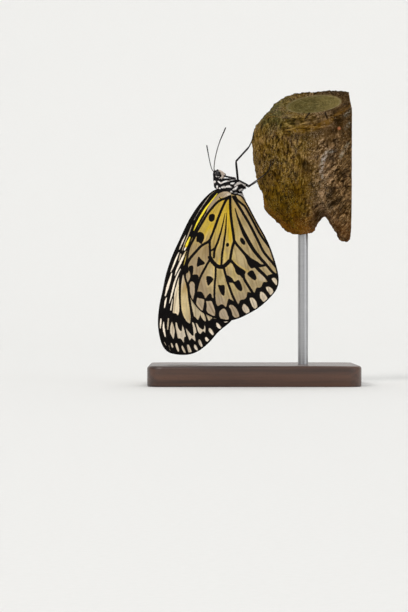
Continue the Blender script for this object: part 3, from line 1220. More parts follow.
def leg_skin():
    """Black horn with a dust of grey scales where a leg is pale."""
    horn = Finish("leg_horn", Roughness=0.5, Specular_IOR_Level=0.14)
    dust = horn.noise(4600.0, 3.0, 0.65)
    horn.feed(Base_Color=horn.mix(dust.step(0.42, 0.66) * horn.field("pale") * 0.7,
                                  paint(11, 9, 10), paint(118, 110, 116)))
    horn.bump(dust, 0.02 * MM, 0.6)
    return horn


def leg(node, lengths, toes, seed, stout=1.0):
    """One leg of joined bones and toes, with its spines and claws, as one piece."""
    paths, radii = zip(*lengths, foot(toes, stout))
    path, size = np.vstack(paths), np.concatenate(radii)
    keep = np.append(True, np.linalg.norm(np.diff(path, axis=0), axis=1) > 1e-4)
    path, size = path[keep], size[keep]
    parts = [tube(*capped(path, size), sides=LEG_SIDES), spines(paths[1], radii[1], *SHIN_SPINES, seed),
             spines(paths[2], radii[2], *TOE_SPINES, seed + 1), claws(paths[2])]
    points, faces = joined(parts)
    pale = np.zeros(len(points))
    tube_count = parts[0][0].size // 3
    pale[:tube_count] = np.repeat(np.interp(np.arange(len(path) + 2), *LEG_PALENESS), LEG_SIDES)
    add_piece(node + "_horn", points * MM, faces, leg_horn, "horn", [node], {"pale": pale})


leg_horn = leg_skin()
for label, side in (("right", -1), ("left", 1)):
    hip, knee, ankle = (joint(*place, side) for place in MID_JOINTS)
    toes = [ankle] + [joint(*place, side) for place in MID_TOES]
    toes.append(on_bark(*MID_FOOT[:2], side * MID_FOOT[2], (1, 0, 0)))
    leg("mid_leg_" + label, [bone(hip, knee, FEMUR_PROFILE), bone(knee, ankle, TIBIA_PROFILE)], toes, 5)
    hip, knee = (joint(*place, side) for place in HIND_JOINTS)
    toes = [on_bark(*place, side * 40, (0, -side, 0)) for place in HIND_TOES]
    leg("hind_leg_" + label, [bone(hip, knee, HIND_FEMUR_PROFILE), bone(knee, toes[0], TIBIA_PROFILE)],
        toes, 9)
    hip, knee, wrist, tip = (joint(*place, side) for place in FORE_JOINTS)
    leg("fore_leg_" + label,
        [bone(hip, knee, FORE_FEMUR_PROFILE), bone(knee, wrist, FORE_TIBIA_PROFILE, 10)],
        [wrist, (wrist + tip) / 2, tip], 13, stout=1.4)


# The wings: paper-thin membranes on raised tubular veins, covered in fine scales. Black runs along
# the veins, in bars, spots and a broad margin; between lies chalky cream that turns yellow, tan and
# grey. All four hang closed, the hindwings outside.
FOREWING_OUTLINE = [
    (227, 191), (220, 188.6), (211, 192.3), (200, 203.4), (189.5, 219), (179.9, 238.8),
    (171.8, 256.8), (166.1, 274), (162.7, 290), (159.1, 307.1), (158, 325.9), (161.2, 342.5),
    (166.9, 351.1), (175.5, 354.3), (188.3, 354.6), (199.4, 350.5), (209.7, 341.9), (218.9, 331.5),
    (230.4, 321.8), (237, 312), (238, 298), (236.5, 275), (232.5, 240), (229.5, 210)]
FOREWING_CORNERS = (0, 1, 12, 19)
HINDWING_OUTLINE = [
    (233, 193.5), (225, 191.6), (217.5, 195), (208.4, 206.4), (198, 224), (190.5, 238),
    (186.3, 252), (184.2, 270), (186.9, 284.8), (191, 299.1), (201.2, 311.6), (212.9, 316.7),
    (225, 320.6), (236, 319.3), (247.6, 314.2), (259.1, 307.4), (270.5, 297.1), (277.3, 287.5),
    (278.4, 276), (273.9, 257.9), (266.8, 239.7), (256, 220.2), (247.6, 204.5), (241.5, 195.7)]
HINDWING_CORNERS = (23, 1, 10, 17)
WING_ROWS = 270
WING_COLUMNS = 150
WING_HALF_THICKNESS = 0.09
WING_RIM = 1.1
VEIN_HEIGHT = 0.085
VEIN_HALF_WIDTH = 1.15
MEMBRANE_PLEAT = 0.07
MEMBRANE_WAVE = 0.10
MEMBRANE_WAVE_LENGTH = 11.0
FOREWING_LIE = 0.42
FLANK_PLACE = (225.0, 191.0)
FLANK_RISE = 1.75
FLANK_REACH = 8.5
WING_STACK = 0.50
WING_BLEND = 0.25
ABDOMEN_ROOM_TOP = (232.0, 190.0)
ABDOMEN_ROOM = ((0, 0.16, 0.5, 0.8, 1), (1.30, 2.0, 2.0, 1.45, 0.9))
VEINS_FORE = [
    [(220, 191), (206, 200.5), (192.5, 219.5), (183, 240), (176, 254)],
    [(222, 192.5), (210, 203.5), (199, 219), (190.5, 237), (185.5, 253), (184.5, 262)],
    [(196, 223.5), (187, 240), (178, 260), (171, 279), (166, 290)],
    [(190.5, 237), (182.5, 256), (174, 279), (168, 300), (161.5, 314)],
    [(186.5, 250), (179, 271), (172.5, 291), (168, 309), (165, 326), (163.5, 340)],
    [(168.5, 307), (167.3, 325), (168.6, 340), (169.3, 348)],
    [(184.5, 262), (174.5, 292), (172, 308), (173, 322), (175, 335), (174.7, 350)],
    [(186, 264), (181, 280), (180, 297), (182, 311), (185.5, 325), (186.5, 350)],
    [(191, 268), (187.5, 285), (189.3, 302), (193, 316), (197, 332), (198, 347)],
    [(184.5, 262), (187, 266.5), (191, 268)],
    [(224.5, 194), (220, 212), (214.5, 232), (209, 248), (200, 262), (191, 268)],
    [(200, 262), (197, 285), (199.5, 302), (204.5, 320), (208.5, 338)],
    [(209, 248), (208, 275), (212, 300), (221.5, 324)],
    [(226.5, 196), (226.5, 225), (229, 260), (235, 303)]]
VEINS_HIND = [
    [(229, 197.5), (221.8, 199.9), (217.2, 202.6), (212.2, 208), (207.6, 213.7), (203.4, 220.6),
     (200, 226.3), (196.2, 232.6), (193.4, 239.4), (190.7, 244.3), (188.9, 248.8), (187.8, 253.3),
     (187.1, 258), (186.8, 263)],
    [(229, 197.5), (226.4, 199.9), (224.5, 203.4), (221.8, 209.1), (218.7, 216.8), (215.7, 225.2),
     (212.6, 233.6), (209.7, 240.5)],
    [(209.7, 240.5), (207.2, 242.4), (204.6, 243.8), (200.9, 246.3), (197.8, 249.6), (195, 252.7),
     (190.7, 257.7), (188, 262.2), (186.6, 265)],
    [(209.7, 240.5), (209.8, 246.4), (210, 251.2), (210.1, 256), (209.6, 260), (206.8, 264.9),
     (203.7, 270.7), (201.6, 274.6), (199.7, 278.7), (198.3, 283), (197.2, 287.5), (196, 292),
     (194.6, 298), (194, 303)],
    [(209.8, 257.4), (212.2, 261.3), (214.8, 264.2), (216.7, 266), (219.2, 266.9), (222.4, 266.9),
     (224.3, 266), (226.9, 263.7), (229.4, 261)],
    [(215.7, 266.5), (215.5, 276.7), (214.8, 283), (214.4, 291), (214.4, 296), (214.9, 302.3),
     (215.9, 312), (217, 319)],
    [(223.8, 267.1), (224.7, 271.9), (225.9, 275.7), (227, 280), (228.4, 284.4), (230, 289),
     (231.8, 293.7), (233.9, 298.6), (236.9, 304.4), (240, 309)],
    [(230.2, 196.6), (230.1, 200), (230.2, 206), (230.6, 213.7), (231.5, 221.4), (232.5, 229),
     (233.6, 236.7), (234, 242), (232.6, 246.4), (231.7, 250.5), (230.4, 258.2), (230.8, 260.4),
     (233.3, 263.3), (235.8, 265.9), (240.2, 270.4), (243, 275.6), (244.6, 279.8), (247.3, 284.4),
     (251.7, 291.4), (256, 297.4)],
    [(234, 240.4), (237, 244.9), (240.6, 249.2), (244.8, 254), (249.6, 259), (256.2, 267.2),
     (260.7, 271.7), (265.6, 276.6), (268.7, 281), (271, 284)],
    [(233, 197), (238.8, 206.5), (242.7, 213), (250.3, 226), (258, 240.9), (263.5, 251.8),
     (269.6, 259.4), (276.5, 267.6)],
    [(235, 196.5), (237.3, 200.3), (241.9, 204.2), (245.7, 208), (252.6, 220.6), (260.6, 235.2),
     (267.5, 244.7), (270.8, 249.5)]]
VEIN_WIDTHS_HIND = [2.5, 2.6, 2.7, 2.4, 4.1, 2.2, 2.5, 2.8, (2.5, 2.8, 3.4, 3.4, 2.7), 2.7, 2.4]


def outline_sides(outline, corners, counts):
    """The closed smooth outline cut at four of its points: root, leading, outer and inner edge."""
    curve = flow(outline, len(outline) * 24, closed=True)
    marks = [np.hypot(*(curve - outline[corner]).T).argmin() for corner in corners]
    sides = []
    for number, count in enumerate(counts):
        first, last = marks[number], marks[(number + 1) % 4]
        last += len(curve) if last <= first else 0
        sides.append(evenly(curve[np.arange(first, last + 1) % len(curve)], count))
    return sides


def spread(outline, corners):
    """Grid of places over a wing: opposite edges blended both ways, less the blend of the corners."""
    root, leading, outer, inner = outline_sides(
        outline, corners, (WING_COLUMNS, WING_ROWS, WING_COLUMNS, WING_ROWS))
    root, inner = root[::-1], inner[::-1]
    down = np.linspace(0, 1, WING_ROWS)[:, None, None]
    across = np.linspace(0, 1, WING_COLUMNS)[None, :, None]
    lengthwise = leading[:, None] * (1 - across) + inner[:, None] * across
    crosswise = root[None] * (1 - down) + outer[None] * down
    corner = ((leading[0] * (1 - across) + inner[0] * across) * (1 - down)
              + (leading[-1] * (1 - across) + inner[-1] * across) * down)
    return (lengthwise + crosswise - corner).reshape(-1, 2)


def outline_gap(outline, places):
    """Distance from each place to the closed outline."""
    curve = flow(outline, len(outline) * 8, closed=True)
    curve = np.vstack((curve, curve[:1]))
    return np.concatenate([away_from(curve, part)[0] for part in np.array_split(places, 24)])


def nearest_line(places, lines):
    """Distance from each place to the nearest of several lines."""
    return np.min([away_from(flow(line, 5 * len(line)), places)[0] for line in lines], axis=0)


def forewing_lie(places):
    """How far the forewing's middle lies from the body's middle plane, in mm: it swells over the flank."""
    gap = np.hypot(*(plane(places) - plane(FLANK_PLACE)).T) / MM
    side = ease(places[:, 0], 237.0, 227.0)
    return FOREWING_LIE + FLANK_RISE * np.exp(-(gap / FLANK_REACH) ** 2) * side


def hindwing_lie(places):
    """The hindwing's: over the forewing, and blended softly over the abdomen that lies between."""
    cover = forewing_lie(places) + WING_STACK
    axis = np.vstack((ABDOMEN_ROOM_TOP, flow(ABDOMEN_AXIS, 7)[1:]))
    away, along = away_from(axis, places)
    thick = np.interp(along, *ABDOMEN_ROOM)
    reach = np.clip(away * PX / MM / (2.7 * thick), 0, 1)
    bulge = (thick + 0.45) * np.cos(math.pi / 2 * reach) ** 2
    return WING_BLEND * np.log(np.exp(cover / WING_BLEND) + np.exp(bulge / WING_BLEND))


def patch(places, corners):
    """Depth of a place in a closed smooth patch, in px; outside it is negative."""
    curve = flow(corners, len(corners) * 6, closed=True)
    curve = np.vstack((curve, curve[:1]))
    beside, depth = near(places, curve)
    gap = away_from(curve, places[beside])[0]
    x, y = places[beside, :1], places[beside, 1:]
    ax, ay, bx, by = curve[:-1, 0], curve[:-1, 1], curve[1:, 0], curve[1:, 1]
    crossing = ((ay > y) != (by > y)) & (x < (bx - ax) * (y - ay) / (by - ay + 1e-12) + ax)
    depth[beside] = np.where(crossing.sum(1) % 2 == 1, gap, -gap)
    return depth


def oval(places, column, row, wide, high, lean=0.0):
    """Depth of a place in an oval whose size is wide by high and whose top leans right by degrees."""
    turn = math.radians(lean)
    across, along = places[:, 0] - column, places[:, 1] - row
    u = across * math.cos(turn) + along * math.sin(turn)
    v = along * math.cos(turn) - across * math.sin(turn)
    return (1 - np.hypot(u / (wide / 2), v / (high / 2))) * min(wide, high) / 2


def deepest(*depths):
    """The largest of several depths or shares, place by place."""
    return np.max(depths, axis=0)


def glow(places, ovals):
    """The strongest of several soft ovals: a share, the oval, and the depths where its edge starts
    and is full."""
    return deepest(*[share * ease(oval(places, *shape), low, high) for share, shape, low, high in ovals])


# Marks of the hindwing: outlines of spots, ovals (column, row, width, height, lean) and brush lines.
HIND_SPOTS = [
    [(208.6, 217.2), (209.6, 214.8), (212, 214), (214.4, 214.6), (215, 217), (214, 220.4),
     (211.6, 222), (209.2, 220.8)],
    [(196.4, 233.6), (198, 232.4), (200.5, 232), (203, 233.2), (204.2, 235.6), (204.1, 238.6),
     (202.9, 241.6), (201.3, 244.2), (200, 243.4), (198.5, 242.3), (196.6, 241.9), (196.2, 239.8),
     (196.6, 236.6)],
    [(192.6, 231), (196.6, 231.6), (197, 234.4), (196.2, 237), (194.6, 240), (192.6, 243),
     (191.2, 242.4), (192.6, 238.4), (191.6, 235)],
    [(198.5, 256.4), (201, 259), (204.9, 262.6), (204.2, 264.4), (202.8, 265), (200.1, 265.7),
     (197.4, 267), (196.8, 264.6), (197.4, 260.6)],
    [(206.5, 276.3), (209.5, 276), (211.8, 277.1), (213.4, 279.4), (211.6, 282.4), (209.2, 285.2),
     (207.9, 285.7), (206.7, 282.2), (206.2, 279)],
    [(217.9, 285.1), (220.9, 285.1), (224.3, 285.1), (224.9, 289.1), (224.4, 295.1), (222.4, 295.3),
     (220.3, 292.3), (219, 289.1)],
    [(226.1, 275.3), (229, 276), (232.1, 278.2), (233.9, 281.1), (235.7, 281.3), (237.9, 279.8),
     (239.9, 281.3), (241.4, 285), (242.4, 289.2), (241.1, 291.3), (239.1, 290.5), (236.4, 288),
     (234.6, 285.3), (232.8, 283.2), (229.3, 282.7), (227.9, 280.7)],
    [(232.5, 262.5), (235.2, 264.2), (239.2, 266.9), (242.8, 269.2), (245.7, 271.7), (244.9, 274.3),
     (244.9, 277.2), (242.8, 278.8), (240, 275.6), (237.2, 274.6), (235.4, 271.9), (234.5, 268.6),
     (232.9, 265.4)],
    [(242.8, 251.8), (247.3, 254.4), (249.9, 257.1), (254, 259.7), (258, 262), (261.1, 264.2),
     (264.7, 264.2), (265.8, 265.8), (262.9, 267), (258.9, 267.5), (254.9, 267.7), (251.2, 268.5),
     (248.8, 265.6), (247.1, 262.8), (246.2, 259.7), (244.4, 256)],
    [(247.1, 274), (249.7, 270.9), (252.7, 270.5), (254.7, 273.3), (256.5, 277.5), (255.4, 280.3),
     (253, 279.6), (250.2, 277.3)],
    [(182.4, 264.4), (186, 263.6), (188.6, 262.6), (188.2, 266.5), (188.8, 269.8), (188, 272.8),
     (186.6, 273.4), (185.6, 276.6), (183.8, 275.5), (182.2, 270)],
    [(188.2, 268.6), (189.4, 266.2), (192.4, 265.5), (193.5, 267.6), (193.3, 271.4), (192.9, 274.6),
     (194.6, 274.3), (197.6, 274.7), (198.7, 277.5), (198.1, 280.8), (197.4, 284), (196.6, 289),
     (195.6, 292), (194.6, 291.5), (194.6, 284.6), (193.4, 282.3), (191.6, 281.5), (190.2, 282.5),
     (189, 285.2), (187.4, 284.6), (188.2, 281.8), (190, 277.6), (190.1, 274), (189.2, 271.2)]]
HIND_OVALS = [(242.6, 241.3, 4.3, 8, -29), (227.5, 244.8, 3.3, 4.2, 8)]
HIND_LINES = [
    ([(206.5, 209.9), (201.9, 217.5), (198.8, 224), (196.1, 229), (194.4, 232.6)],
     (1.2, 1.7, 1.8)),
    ([(229.2, 196.6), (226.2, 198.4), (222.4, 199.6), (219.9, 198.4), (219.3, 197.2)],
     (2, 2.6, 2.2, 1.4, 0.7)),
    ([(224.9, 213.6), (223.4, 221.4), (221.9, 228.2), (219.7, 235.9), (217.7, 242.4), (215.2, 248.2),
      (214.2, 252.8), (213.9, 257.6)], (0.6, 1.5, 2.1, 2.4, 2.3)),
    ([(215.4, 247.9), (213.2, 249.4), (210.4, 250.9)], (2.2, 1.7)),
    ([(226.4, 213), (226.3, 219.4), (225.7, 229), (224.8, 236.7), (223.4, 246.4), (221.9, 256),
      (221.3, 265)], (0.6, 1.6, 2.2, 2.4, 2.2)),
    ([(235, 208.4), (236.7, 214.5), (238.8, 220.6), (241.5, 227.5), (244.6, 234.5), (249.9, 243.9),
      (254.6, 251.4), (260.9, 259), (266.7, 265.4), (271.6, 271.4), (275.6, 274.6), (278.6, 276.4)],
     (0.9, 2.6, 3.9, 3.7, 3.3, 2.8, 2.6))]
HIND_MARGIN = [
    (185, 280), (189.6, 286), (192.4, 299.4), (193.2, 300.2), (195, 295), (196.6, 292.2),
    (198.3, 291.6), (200.1, 291.5), (202.3, 292.4), (203.9, 295.2), (205.3, 298.4), (206.6, 296.6),
    (208.4, 294.4), (210.2, 293.2), (211.5, 294.6), (212.1, 297.4), (213.2, 298.2), (214.6, 298.8),
    (216, 302.4), (217.6, 306), (219.8, 304.8), (221.9, 304.1), (223.9, 305.2), (225.8, 307),
    (226.8, 304), (227.7, 300.6), (228.6, 298.6), (230.4, 299.2), (232.6, 300.6), (234.8, 301.8),
    (237.9, 304.4), (239.2, 302), (240.4, 300), (242.6, 299.5), (245, 298.7), (246.4, 296.8),
    (247, 294), (247.6, 292.1), (249.6, 292.3), (251.6, 292.9), (253.2, 293.6), (254.4, 292.8),
    (255.4, 290), (256.6, 287.6), (259.6, 287.6), (261.4, 286.2), (262.4, 283.8), (263.4, 282),
    (265.6, 282), (267.4, 281.6), (268, 279), (267.6, 275.6), (269.6, 274.6), (272.6, 273.8),
    (275, 274.6), (276.6, 275.2), (279.5, 276), (282, 290), (272, 304), (256, 314),
    (236, 324), (218, 323), (203, 318), (188, 301)]
HIND_WINDOWS = [
    [(187.7, 273), (189.4, 275), (189.2, 278.8), (187.8, 282.2), (186.4, 279.8), (185.9, 276)],
    [(192.6, 282), (194.4, 283.8), (194.9, 289), (193.9, 296), (192.6, 300), (191, 296),
     (189.6, 290), (190.4, 284.4)],
    [(197.2, 297.6), (199.4, 298.1), (202.6, 298.8), (204.3, 299.5), (204.1, 304), (203, 309.7),
     (201.5, 310.4), (198.3, 307.3), (196.1, 304), (196.5, 300)],
    [(205.9, 300.9), (207.6, 301.1), (211.1, 300.8), (212.6, 302.8), (214.1, 306.9), (215.2, 311.1),
     (215, 315.5), (213.3, 315.9), (210.4, 314.5), (207.2, 312.3), (206.2, 309), (206.6, 305.4)],
    [(221.5, 309.2), (223.6, 308.4), (225.4, 309.2), (227, 312.2), (228.1, 315.4), (229.1, 317.4),
     (228.3, 319.5), (225.1, 319.9), (221.5, 319.6), (219.6, 317), (218.9, 314.4), (219.6, 311.4)],
    [(229.4, 305.2), (231.5, 304.5), (234, 305.9), (236.6, 308.9), (238.5, 312.6), (239.2, 316.3),
     (237.7, 317.5), (234.7, 317.7), (232.5, 315.3), (231.4, 311.2), (230, 308.7), (228.9, 306.9)],
    [(242.8, 304.8), (244.1, 303.7), (246.9, 305.8), (249.5, 310.1), (248.4, 314.2), (245, 313),
     (242.6, 310.2), (241.9, 306.8)],
    [(249.6, 298.3), (252.2, 297.5), (254.6, 299.1), (256.8, 302.8), (257.4, 307.5), (255.4, 309),
     (253, 307.7), (250.6, 303.1)],
    [(260, 292), (262.9, 292.1), (265.8, 295.1), (267.4, 299), (264.3, 302.2), (261.8, 300.5),
     (259.8, 297.2)],
    [(265.8, 287.2), (268.7, 286.5), (272, 288.4), (273.5, 291.7), (272.5, 294.3), (270.5, 295.4),
     (268.1, 292.4), (266.3, 289.6)],
    [(271.6, 278.6), (274.1, 277.6), (276.5, 279.5), (277.2, 283.3), (276.4, 285.4), (274.4, 283.6),
     (272.5, 281.2)]]
MIDDLE_VEIN = ((196, 206, 221, 236, 250, 265), (230, 230.2, 231.5, 233.6, 232, 235))
GOLD_BY_ROW = ((196, 212, 238, 262, 290), (0.85, 0.82, 0.58, 0.22, 0.05))
GOLD_PAST_VEIN = ((0, 1.5, 6, 12), (1, 0.55, 0.36, 0.18))
HIND_GOLD = [
    (0.85, (215, 212, 7, 30, 24), -2, 1), (0.95, (229.2, 222, 4.5, 40, -3), -2, 0.6),
    (1.05, (208, 234, 8, 22, 24), -3, 1.5), (0.40, (239, 257, 8, 15, -38), -4, 2.5),
    (0.40, (213.5, 268, 4, 15, 2), -2, 1), (0.50, (227.6, 266.5, 5, 12, -12), -2, 1),
    (0.60, (225.6, 258, 4, 12, 0), -2, 1), (0.60, (219.6, 262, 3, 9, 0), -2, 1),
    (0.45, (198, 251, 5, 12, 30), -2, 1)]
HIND_GOLD_LINE = [(233.5, 262.5), (240, 267), (248, 272)]
HIND_DUSK = [
    (0.95, (207, 254, 5.5, 18, 0), -2, 1), (0.5, (218.6, 254, 3.5, 11, 6), -2, 1),
    (0.3, (217, 209, 6, 14, 30), -2, 1), (0.6, (228.2, 272, 5, 8, -20), -2, 1),
    (0.5, (222, 240, 3, 10, 5), -2, 1), (0.6, (227.6, 248, 4, 8, 0), -2, 1)]
HIND_DUSK_LINE = [(243, 209), (249, 219), (255, 229), (262, 241)]
HIND_SNOW = [
    (0.50, (228.6, 194.8, 4, 3.6, 0), -0.8, 0.8), (0.22, (262, 277, 6, 8, -35), -2, 1),
    (0.14, (239, 257, 8, 15, -38), -4, 2.5), (0.12, (208, 236, 5, 14, 20), -2, 1.5),
    (0.16, (221, 299, 4.5, 10, -8), -2, 1), (0.14, (212, 272, 4.5, 11, 14), -2, 1),
    (0.10, (229, 266.5, 5, 8, -20), -2, 1), (0.10, (226, 259.5, 4, 8, 0), -2, 1)]
EDGE_STREAKS = [([(186.5, 253.0), (185.5, 258.6), (183.9, 265.6)], (0.6, 1.5, 0.9)),
                ([(187.8, 249.0), (187.2, 255.0), (186.9, 260.5)], (0.4, 0.8, 0.4))]


def hindwing_marks(places):
    """Depth in the black ink, and the shares of yellow, tan, grey and white over the wing."""
    rim = outline_gap(HINDWING_OUTLINE, places)
    column, row = places.T
    open_edge = ease(row, 214.0, 206.0) * (column < 231)
    ink = deepest(*[stroke(places, line, width) for line, width in zip(VEINS_HIND, VEIN_WIDTHS_HIND)],
                  *[stroke(places, line, width) for line, width in HIND_LINES],
                  *[patch(places, corners) for corners in HIND_SPOTS],
                  *[oval(places, *shape) for shape in HIND_OVALS],
                  patch(places, HIND_MARGIN), 1.6 - 1.4 * open_edge - rim)
    windows = deepest(*[patch(places, corners) for corners in HIND_WINDOWS])
    ink = np.maximum(np.minimum(ink, 0.25 - windows), 1.2 - 1.1 * open_edge - rim)
    lobe = ease(oval(places, 224.0, 194.6, 15.0, 6.6, -6), -0.6, 0.9)
    band = ease(rim, 4.6, 3.0) * ease(row, 240.0, 228.0) * (column < 222)
    past_vein = column - np.interp(row, *MIDDLE_VEIN)
    inner = ease(column - 0.58 * (row - 200.0), 236.0, 248.0)
    inner = np.maximum(inner, 0.3 * ease(past_vein, 0.0, 2.0) * ease(row, 226.0, 212.0))
    gold = np.interp(row, *GOLD_BY_ROW) * np.interp(past_vein, *GOLD_PAST_VEIN)
    gold *= 1 - 0.7 * (past_vein > 0) * ease(row, 210.0, 198.0)
    gold = deepest(gold, glow(places, HIND_GOLD),
                   0.50 * ease(stroke(places, HIND_GOLD_LINE, 3.0), -1.0, 1.0))
    gold = gold * (1 - lobe) * (1 - band)
    dusk = deepest(
        lobe, band, glow(places, HIND_DUSK), 0.6 * ease(stroke(places, HIND_DUSK_LINE, 4.0), -1.5, 1.0),
        0.45 * ease(past_vein, 3.0, 9.0) * ease(row, 198.0, 214.0),
        0.45 * ease(past_vein, 0.0, 5.0) * ease(row, 240.0, 260.0),
        0.95 * ease(rim, 32.0, 12.0) * ease(row, 225.0, 250.0) * ease(column, 258.0, 244.0))
    snow = deepest(ease(windows, -0.6, 0.6) * (0.12 + 0.33 * ease(column, 238.0, 248.0)),
                   glow(places, HIND_SNOW), 0.16 * lobe * ease(column, 220.5, 226.0))
    streaks = [stroke(places, line, width) for line, width in EDGE_STREAKS]
    ink = np.minimum(ink, 0.3 - deepest(*streaks))
    gold = deepest(gold, 1.6 * ease(streaks[0], -0.4, 0.3), 0.7 * ease(streaks[1], -0.4, 0.3))
    return {"ink": ink, "gold": gold, "tan": inner, "dusk": dusk, "snow": snow}


# Marks of the forewing, in the same way.
FORE_PALE_LINES = [
    ([(215.7, 190.7), (210.3, 195.3), (206.5, 200.3), (202.7, 205.7), (198.8, 211.8), (196, 216.4),
      (194, 220.4)], (0.4, 0.8, 0.7, 0.4)),
    ([(217.2, 193.9), (210.8, 202.4), (205.9, 208.7), (201.9, 214.8), (197.6, 222.4), (193.8, 230.3)],
     (1, 2.1, 2.6, 2.4, 2.2, 1.2)),
    ([(185.8, 235), (182.4, 242), (179.3, 249.3)], (0.7, 1.7, 1.2)),
    ([(192, 225), (187.6, 236.3), (184.8, 243), (182.2, 250.8)], (0.9, 1.3, 1.3, 1)),
    ([(180.6, 254.4), (179, 260.6)], (1.9, 1.4)),
    ([(189.8, 237.6), (187.2, 244), (184.5, 250)], (1.8, 3, 1.6)),
    ([(178.8, 252.6), (175.7, 259.8), (173, 266.7), (170.8, 271.8)], (1, 2.1, 2, 1.1)),
    ([(171.8, 273.2), (169.5, 281), (167, 289.5), (165.2, 295.8)], (1.2, 2.6, 2.8, 1.4)),
    ([(166.6, 297.6), (165.4, 302), (164.6, 307.6)], (1.2, 2.1, 1.3)),
    ([(185.9, 251.2), (182.6, 257.9), (179.5, 264.4), (176.8, 270.2), (175.2, 275.2)],
     (1.1, 2.4, 2.6, 2.2, 1.2)),
    ([(180.5, 269), (178, 274), (175.7, 279.7), (173.8, 286.4), (172.2, 292.8), (170.9, 297.9),
      (169.4, 303)], (1.1, 1.9, 2.3, 2, 1.1)),
    ([(172.6, 299.1), (170.9, 309.9)], (1.2, 1.9)),
    ([(161, 319), (160.6, 324), (160.3, 328)], (1.8, 2.5, 1.8)),
    ([(163.6, 322.2), (163.7, 328.6), (165.3, 336.2)], (1.7, 3, 2.2)),
    ([(168.4, 318.6), (168, 323.6), (167.6, 329.2)], (1.7, 2.5, 1.9)),
    ([(164.2, 342), (166.2, 345.4)], 1.3),
    ([(168.7, 345.5), (170.1, 350.2)], 1.3),
    ([(222.8, 321.9), (225.4, 322), (228.4, 321.4)], (0.6, 1.8, 0.8)),
    ([(213.4, 318.1), (216.4, 318.6)], 0.8)]
FORE_PALE_PATCHES = [
    [(179.2, 276.6), (176.6, 284.4), (174.4, 292.3), (173.4, 304), (172.7, 310.6), (172.9, 313.2),
     (176, 313.6), (177.9, 315.6), (179.4, 310), (179, 295), (178.9, 285)],
    [(183.2, 274), (184.6, 279), (187, 287.5), (188.4, 299), (190, 310), (190.8, 318),
     (190.3, 323.8), (188.6, 323.2), (186.4, 321.4), (183, 315.3), (181.2, 307), (180.7, 294),
     (181.6, 281)],
    [(189.6, 288), (193, 291), (197, 299), (200.4, 306.4), (200.6, 312), (199.6, 317),
     (198, 320.3), (196.4, 318.6), (193.4, 315.4), (191.4, 309), (190.6, 302)],
    [(200.4, 306), (202.6, 310.4), (205, 315.6), (206.2, 320.4), (205.2, 321.8), (203, 320),
     (201.4, 317.6), (199.8, 312.6)],
    [(205.6, 313.2), (209, 315.6), (212.4, 317.4), (210.9, 319.7), (208.7, 321), (207.3, 318.6)],
    [(203.4, 270), (206.4, 264), (207.6, 277), (209.4, 295), (211.2, 309), (207.4, 311),
     (202.8, 302), (199.4, 290)],
    [(211, 260), (214.6, 250), (224, 250), (226, 275), (229.6, 300), (226, 316),
     (217, 314), (212.6, 300), (209.6, 278)],
    [(222.6, 200), (218, 215), (212, 235), (206.4, 247), (198, 259), (190.4, 263),
     (188.4, 256), (193.4, 240), (201.6, 222), (211.4, 207)],
    [(228, 205), (229.6, 240), (232.6, 270), (235.6, 300), (230.6, 290), (226, 255),
     (225.2, 225)],
    [(171.9, 321), (173, 323), (174.5, 327.6), (175.1, 331.8), (174.1, 338.9), (173, 339.2),
     (171.2, 335.8), (169.8, 332.5), (170, 326.8), (170.9, 323)],
    [(175.4, 322.4), (177, 322.4), (178.7, 327.8), (180.8, 330.7), (181.6, 329.5), (181.9, 324.6),
     (182.9, 325.1), (184.5, 329.5), (186.1, 336.4), (184.5, 337.9), (184.4, 343.6), (182.6, 341.9),
     (180.4, 338.9), (177.6, 338.5), (176.5, 333.7), (175.3, 326.8)],
    [(185.2, 327.5), (187.1, 329), (189.8, 332.4), (192.7, 335.4), (193.2, 333.7), (192.6, 327.6),
     (191.8, 322.8), (192.9, 321.7), (194.9, 324.8), (196.8, 331.4), (196.8, 333), (195.2, 334.4),
     (196, 341.6), (194.9, 341.6), (192.3, 339), (191.2, 339), (189.9, 341.2), (188.3, 338.5),
     (186.4, 332.6)],
    [(195.3, 322.3), (197.4, 323.5), (200.1, 327.5), (203.4, 328.9), (204.1, 324.6), (205.1, 324.6),
     (205.9, 329.9), (205.1, 333.2), (203.1, 331.7), (200.4, 334.4), (197.9, 332), (196.4, 327.7)],
    [(170.6, 343), (172.2, 343), (173.6, 346.7), (172.6, 348.6), (171, 346.1)],
    [(175.4, 343), (177.1, 343), (178.8, 347.1), (179.5, 351), (178, 352.1), (176.2, 349.1),
     (175.1, 345.5)],
    [(181.7, 345), (182.9, 345.3), (184.9, 349), (186.2, 352.6), (184.3, 353.2), (182.2, 350.3),
     (181.2, 347.5)],
    [(187.1, 344.2), (189, 344.6), (190.6, 347.5), (192, 351.8), (190.5, 352.6), (188.4, 352.6),
     (187.2, 349), (186.6, 345.8)],
    [(194.2, 344.2), (196.3, 345), (198.3, 349), (197.4, 350.8), (194.9, 349.6), (193.5, 346.7)],
    [(198.4, 339.2), (200.5, 339.6), (202.1, 343.2), (202.9, 345.9), (201.4, 347.6), (199, 344.6),
     (197.9, 341.2)],
    [(205.3, 336.4), (207.4, 337.3), (209.5, 339.8), (207.4, 342), (205.3, 340.8), (204.6, 338.2)],
    [(208.4, 328.2), (210.7, 328), (212.8, 330.4), (214.3, 334.1), (212.6, 335.5), (210.6, 334),
     (208.2, 331.1)],
    [(215.9, 322.6), (217.9, 322.7), (220.4, 325.3), (221.7, 327.6), (220.1, 329.2), (217.8, 328.3),
     (216.1, 325.8)]]
FORE_INK_LINES = [
    ([(164.2, 297.6), (166.6, 295.6), (169.2, 293.1)], 1),
    ([(186.4, 263), (182.6, 272), (179.6, 280), (179.8, 296), (180.6, 310)], 1.6),
    ([(187.2, 284), (188.8, 294), (190, 302), (191.4, 309), (193.2, 317)], 2)]
FORE_GOLD_OVAL = (205, 230, 16, 70, 28)
FORE_SHADE_OVAL = (183.8, 281, 7, 22, -6)


